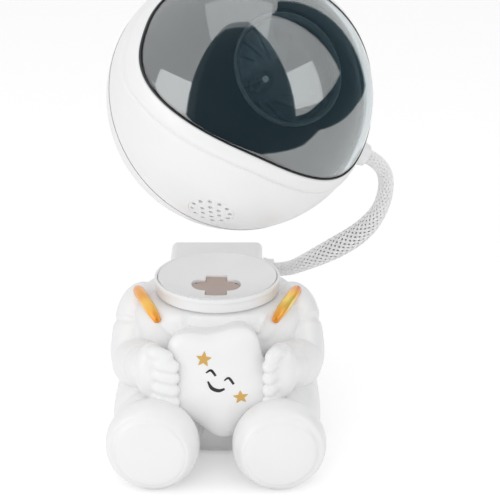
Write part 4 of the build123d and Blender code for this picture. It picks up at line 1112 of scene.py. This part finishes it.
# shoulder straps
strap = Values(
    # x (outwards), y, z and half width
    rows=[(36.2, 9.0, 66.0, 2.3), (35.7, -0.5, 70.6, 2.45), (33.8, -8.0, 71.8, 2.5),
          (31.2, -15.5, 71.5, 2.5), (28.5, -21.5, 70.1, 2.45), (26.1, -25.6, 67.9, 1.8)],
)
for side, sideName in sides:
    rows = curveThrough(strap.rows, 60)
    centres = rows[:, :3] * np.array([side, 1, 1])
    piece = newPiece(f"{sideName}_strap", [tube(centres, rows[:, 3], (0.0, 0.0, 1.0), 32)], goldPaintWithHighlight)
    mount(piece, "base", f"{sideName}_shoulder_strap")


# the solids that stay as they are get their finishes
finishes = {
    glossWhite: ("hose_ferrule", "hose_gland"),
    suitWhite: ("power_button", "star_button", "nebula_button"),
    bowlWhite: ("base_cover",),
    blackSatin: ("visor_mask", "optics_barrel", "speaker", "magnet_holder"),
    steelBright: ("magnet", "usb_socket", "base_screws", "helmet_screws", "catch_ring", "wheel_shaft",
                  "wheel_motor", "heat_sink", "ballast_plate"),
    padGrey: ("base_pad",),
    boardGreen: ("button_board", "main_board", "led_board"),
    brassBare: ("laser_module",),
    wheelClear: ("nebula_wheel",),
}
for material, names in finishes.items():
    for name in names:
        frame["nodes"][name].data.materials.clear()
        frame["nodes"][name].data.materials.append(material)


# floor, light and background
studio = Values(
    world=0.66, floor=4.0, floorTone=(0.9, 0.9, 0.9, 1), floorGlow=0.3,
    # place, size and power
    softboxes={"left": ((-0.72, -0.42, 0.27), (0.5, 0.52), 1.0),
               "right": ((0.74, -0.45, 0.42), (0.5, 0.46), 0.7),
               "front": ((-0.1, -0.95, 0.62), (1.0, 0.6), 2.7),
               "top": ((0.0, -0.1, 1.3), (0.9, 0.9), 1.2)},
    target=(0.0, 0.0, 0.11),
    # dark cards round the front: (x, y, height)
    cards=[(-0.42, -0.47, 2.0), (-0.2, -0.31, 2.0), (0.0, -0.28, 2.0), (0.104, -0.284, 2.0),
           (0.2, -0.25, 2.0), (0.235, -0.235, 0.152), (0.3, -0.213, 0.155), (0.53, -0.213, 0.19),
           (0.68, 0.1, 0.3), (0.7, 0.12, 2.0), (0.81, 0.37, 2.0), (0.8, 0.8, 2.0)],
    # dark tone of the cards, and the glow that paints a teal tint into their reflection in the visor
    cardTone=(0.01, 0.012, 0.014, 1), cardGlow=(0.05, 0.1, 0.13, 1), cardGlowPower=0.8,
)
plainWhite = (1, 1, 1, 1)


def whiteForEye(tree, lit, output, strength):
    # diffuse light sees lit; camera, glossy and see-through rays see white in its place,
    # or added to it where strength is below 1
    path = addNode(tree, "LightPath").outputs
    seen = path["Is Camera Ray"]
    for ray in ("Is Glossy Ray", "Is Transmission Ray"):
        seen = addNode(tree, "Math", {0: seen, 1: path[ray]}, operation="MAXIMUM").outputs["Value"]
    if strength == 1:
        white = addNode(tree, "Background", {"Color": plainWhite, "Strength": strength})
        mix = addNode(tree, "MixShader", {"Fac": seen, 1: lit, 2: white.outputs[0]})
    else:
        share = addNode(tree, "Math", {0: seen, 1: strength}, operation="MULTIPLY").outputs["Value"]
        white = addNode(tree, "Emission", {"Color": plainWhite, "Strength": share})
        mix = addNode(tree, "AddShader", {0: lit, 1: white.outputs[0]})
    tree.links.new(mix.outputs[0], output.inputs["Surface"])


world = bpy.data.worlds.new("studio")
world.use_nodes = True
bpy.context.scene.world = world
ambient = world.node_tree.nodes["Background"]
feed(world.node_tree, ambient, {"Color": plainWhite, "Strength": studio.world})
whiteForEye(world.node_tree, ambient.outputs[0], world.node_tree.nodes["World Output"], 1)


def stagePiece(name, points, faces, material):
    # mesh of the studio, not of the object
    mesh = bpy.data.meshes.new(name)
    mesh.from_pydata(points, [], faces)
    piece = addObject(name, mesh)
    mesh.materials.append(material)
    return piece


reach = studio.floor
floorMaterial, floorTree, floorShader = newMaterial("paleFloor")
feed(floorTree, floorShader, {"Base Color": studio.floorTone, "Roughness": 0.9})
whiteForEye(floorTree, floorShader.outputs[0], floorTree.nodes["Material Output"], studio.floorGlow)
stagePiece("floor", [(-reach, -reach, 0), (reach, -reach, 0), (reach, reach, 0), (-reach, reach, 0)],
           [(0, 1, 2, 3)], floorMaterial)

# dark cards, seen by reflections and by what passes through the visor: a painted reflection, whose faint
# teal glow paints the tint of the visor's dark zone
cardMaterial, cardTree, cardShader = newMaterial("darkCard")
feed(cardTree, cardShader, {"Base Color": studio.cardTone, "Roughness": 1.0,
                            "Emission Color": studio.cardGlow,
                            "Emission Strength": studio.cardGlowPower})
cardPlan = np.array(studio.cards)
cardPoints, cardFaces = grid(np.stack([cardPlan * (1, 1, 0), cardPlan]), closeColumns=False)
cards = stagePiece("dark_cards", cardPoints.tolist(), cardFaces.tolist(), cardMaterial)
for way in ("camera", "diffuse", "volume_scatter", "shadow"):
    setattr(cards, f"visible_{way}", False)


for side, (place, size, power) in studio.softboxes.items():
    # rectangular softbox that looks at the object
    data = bpy.data.lights.new(f"{side}_softbox", "AREA")
    data.shape = "RECTANGLE"
    data.size, data.size_y = size
    data.energy = power
    light = addObject(f"{side}_softbox", data)
    light.location = place
    towards = Vector(studio.target) - Vector(place)
    light.rotation_euler = towards.to_track_quat("-Z", "Y").to_euler()
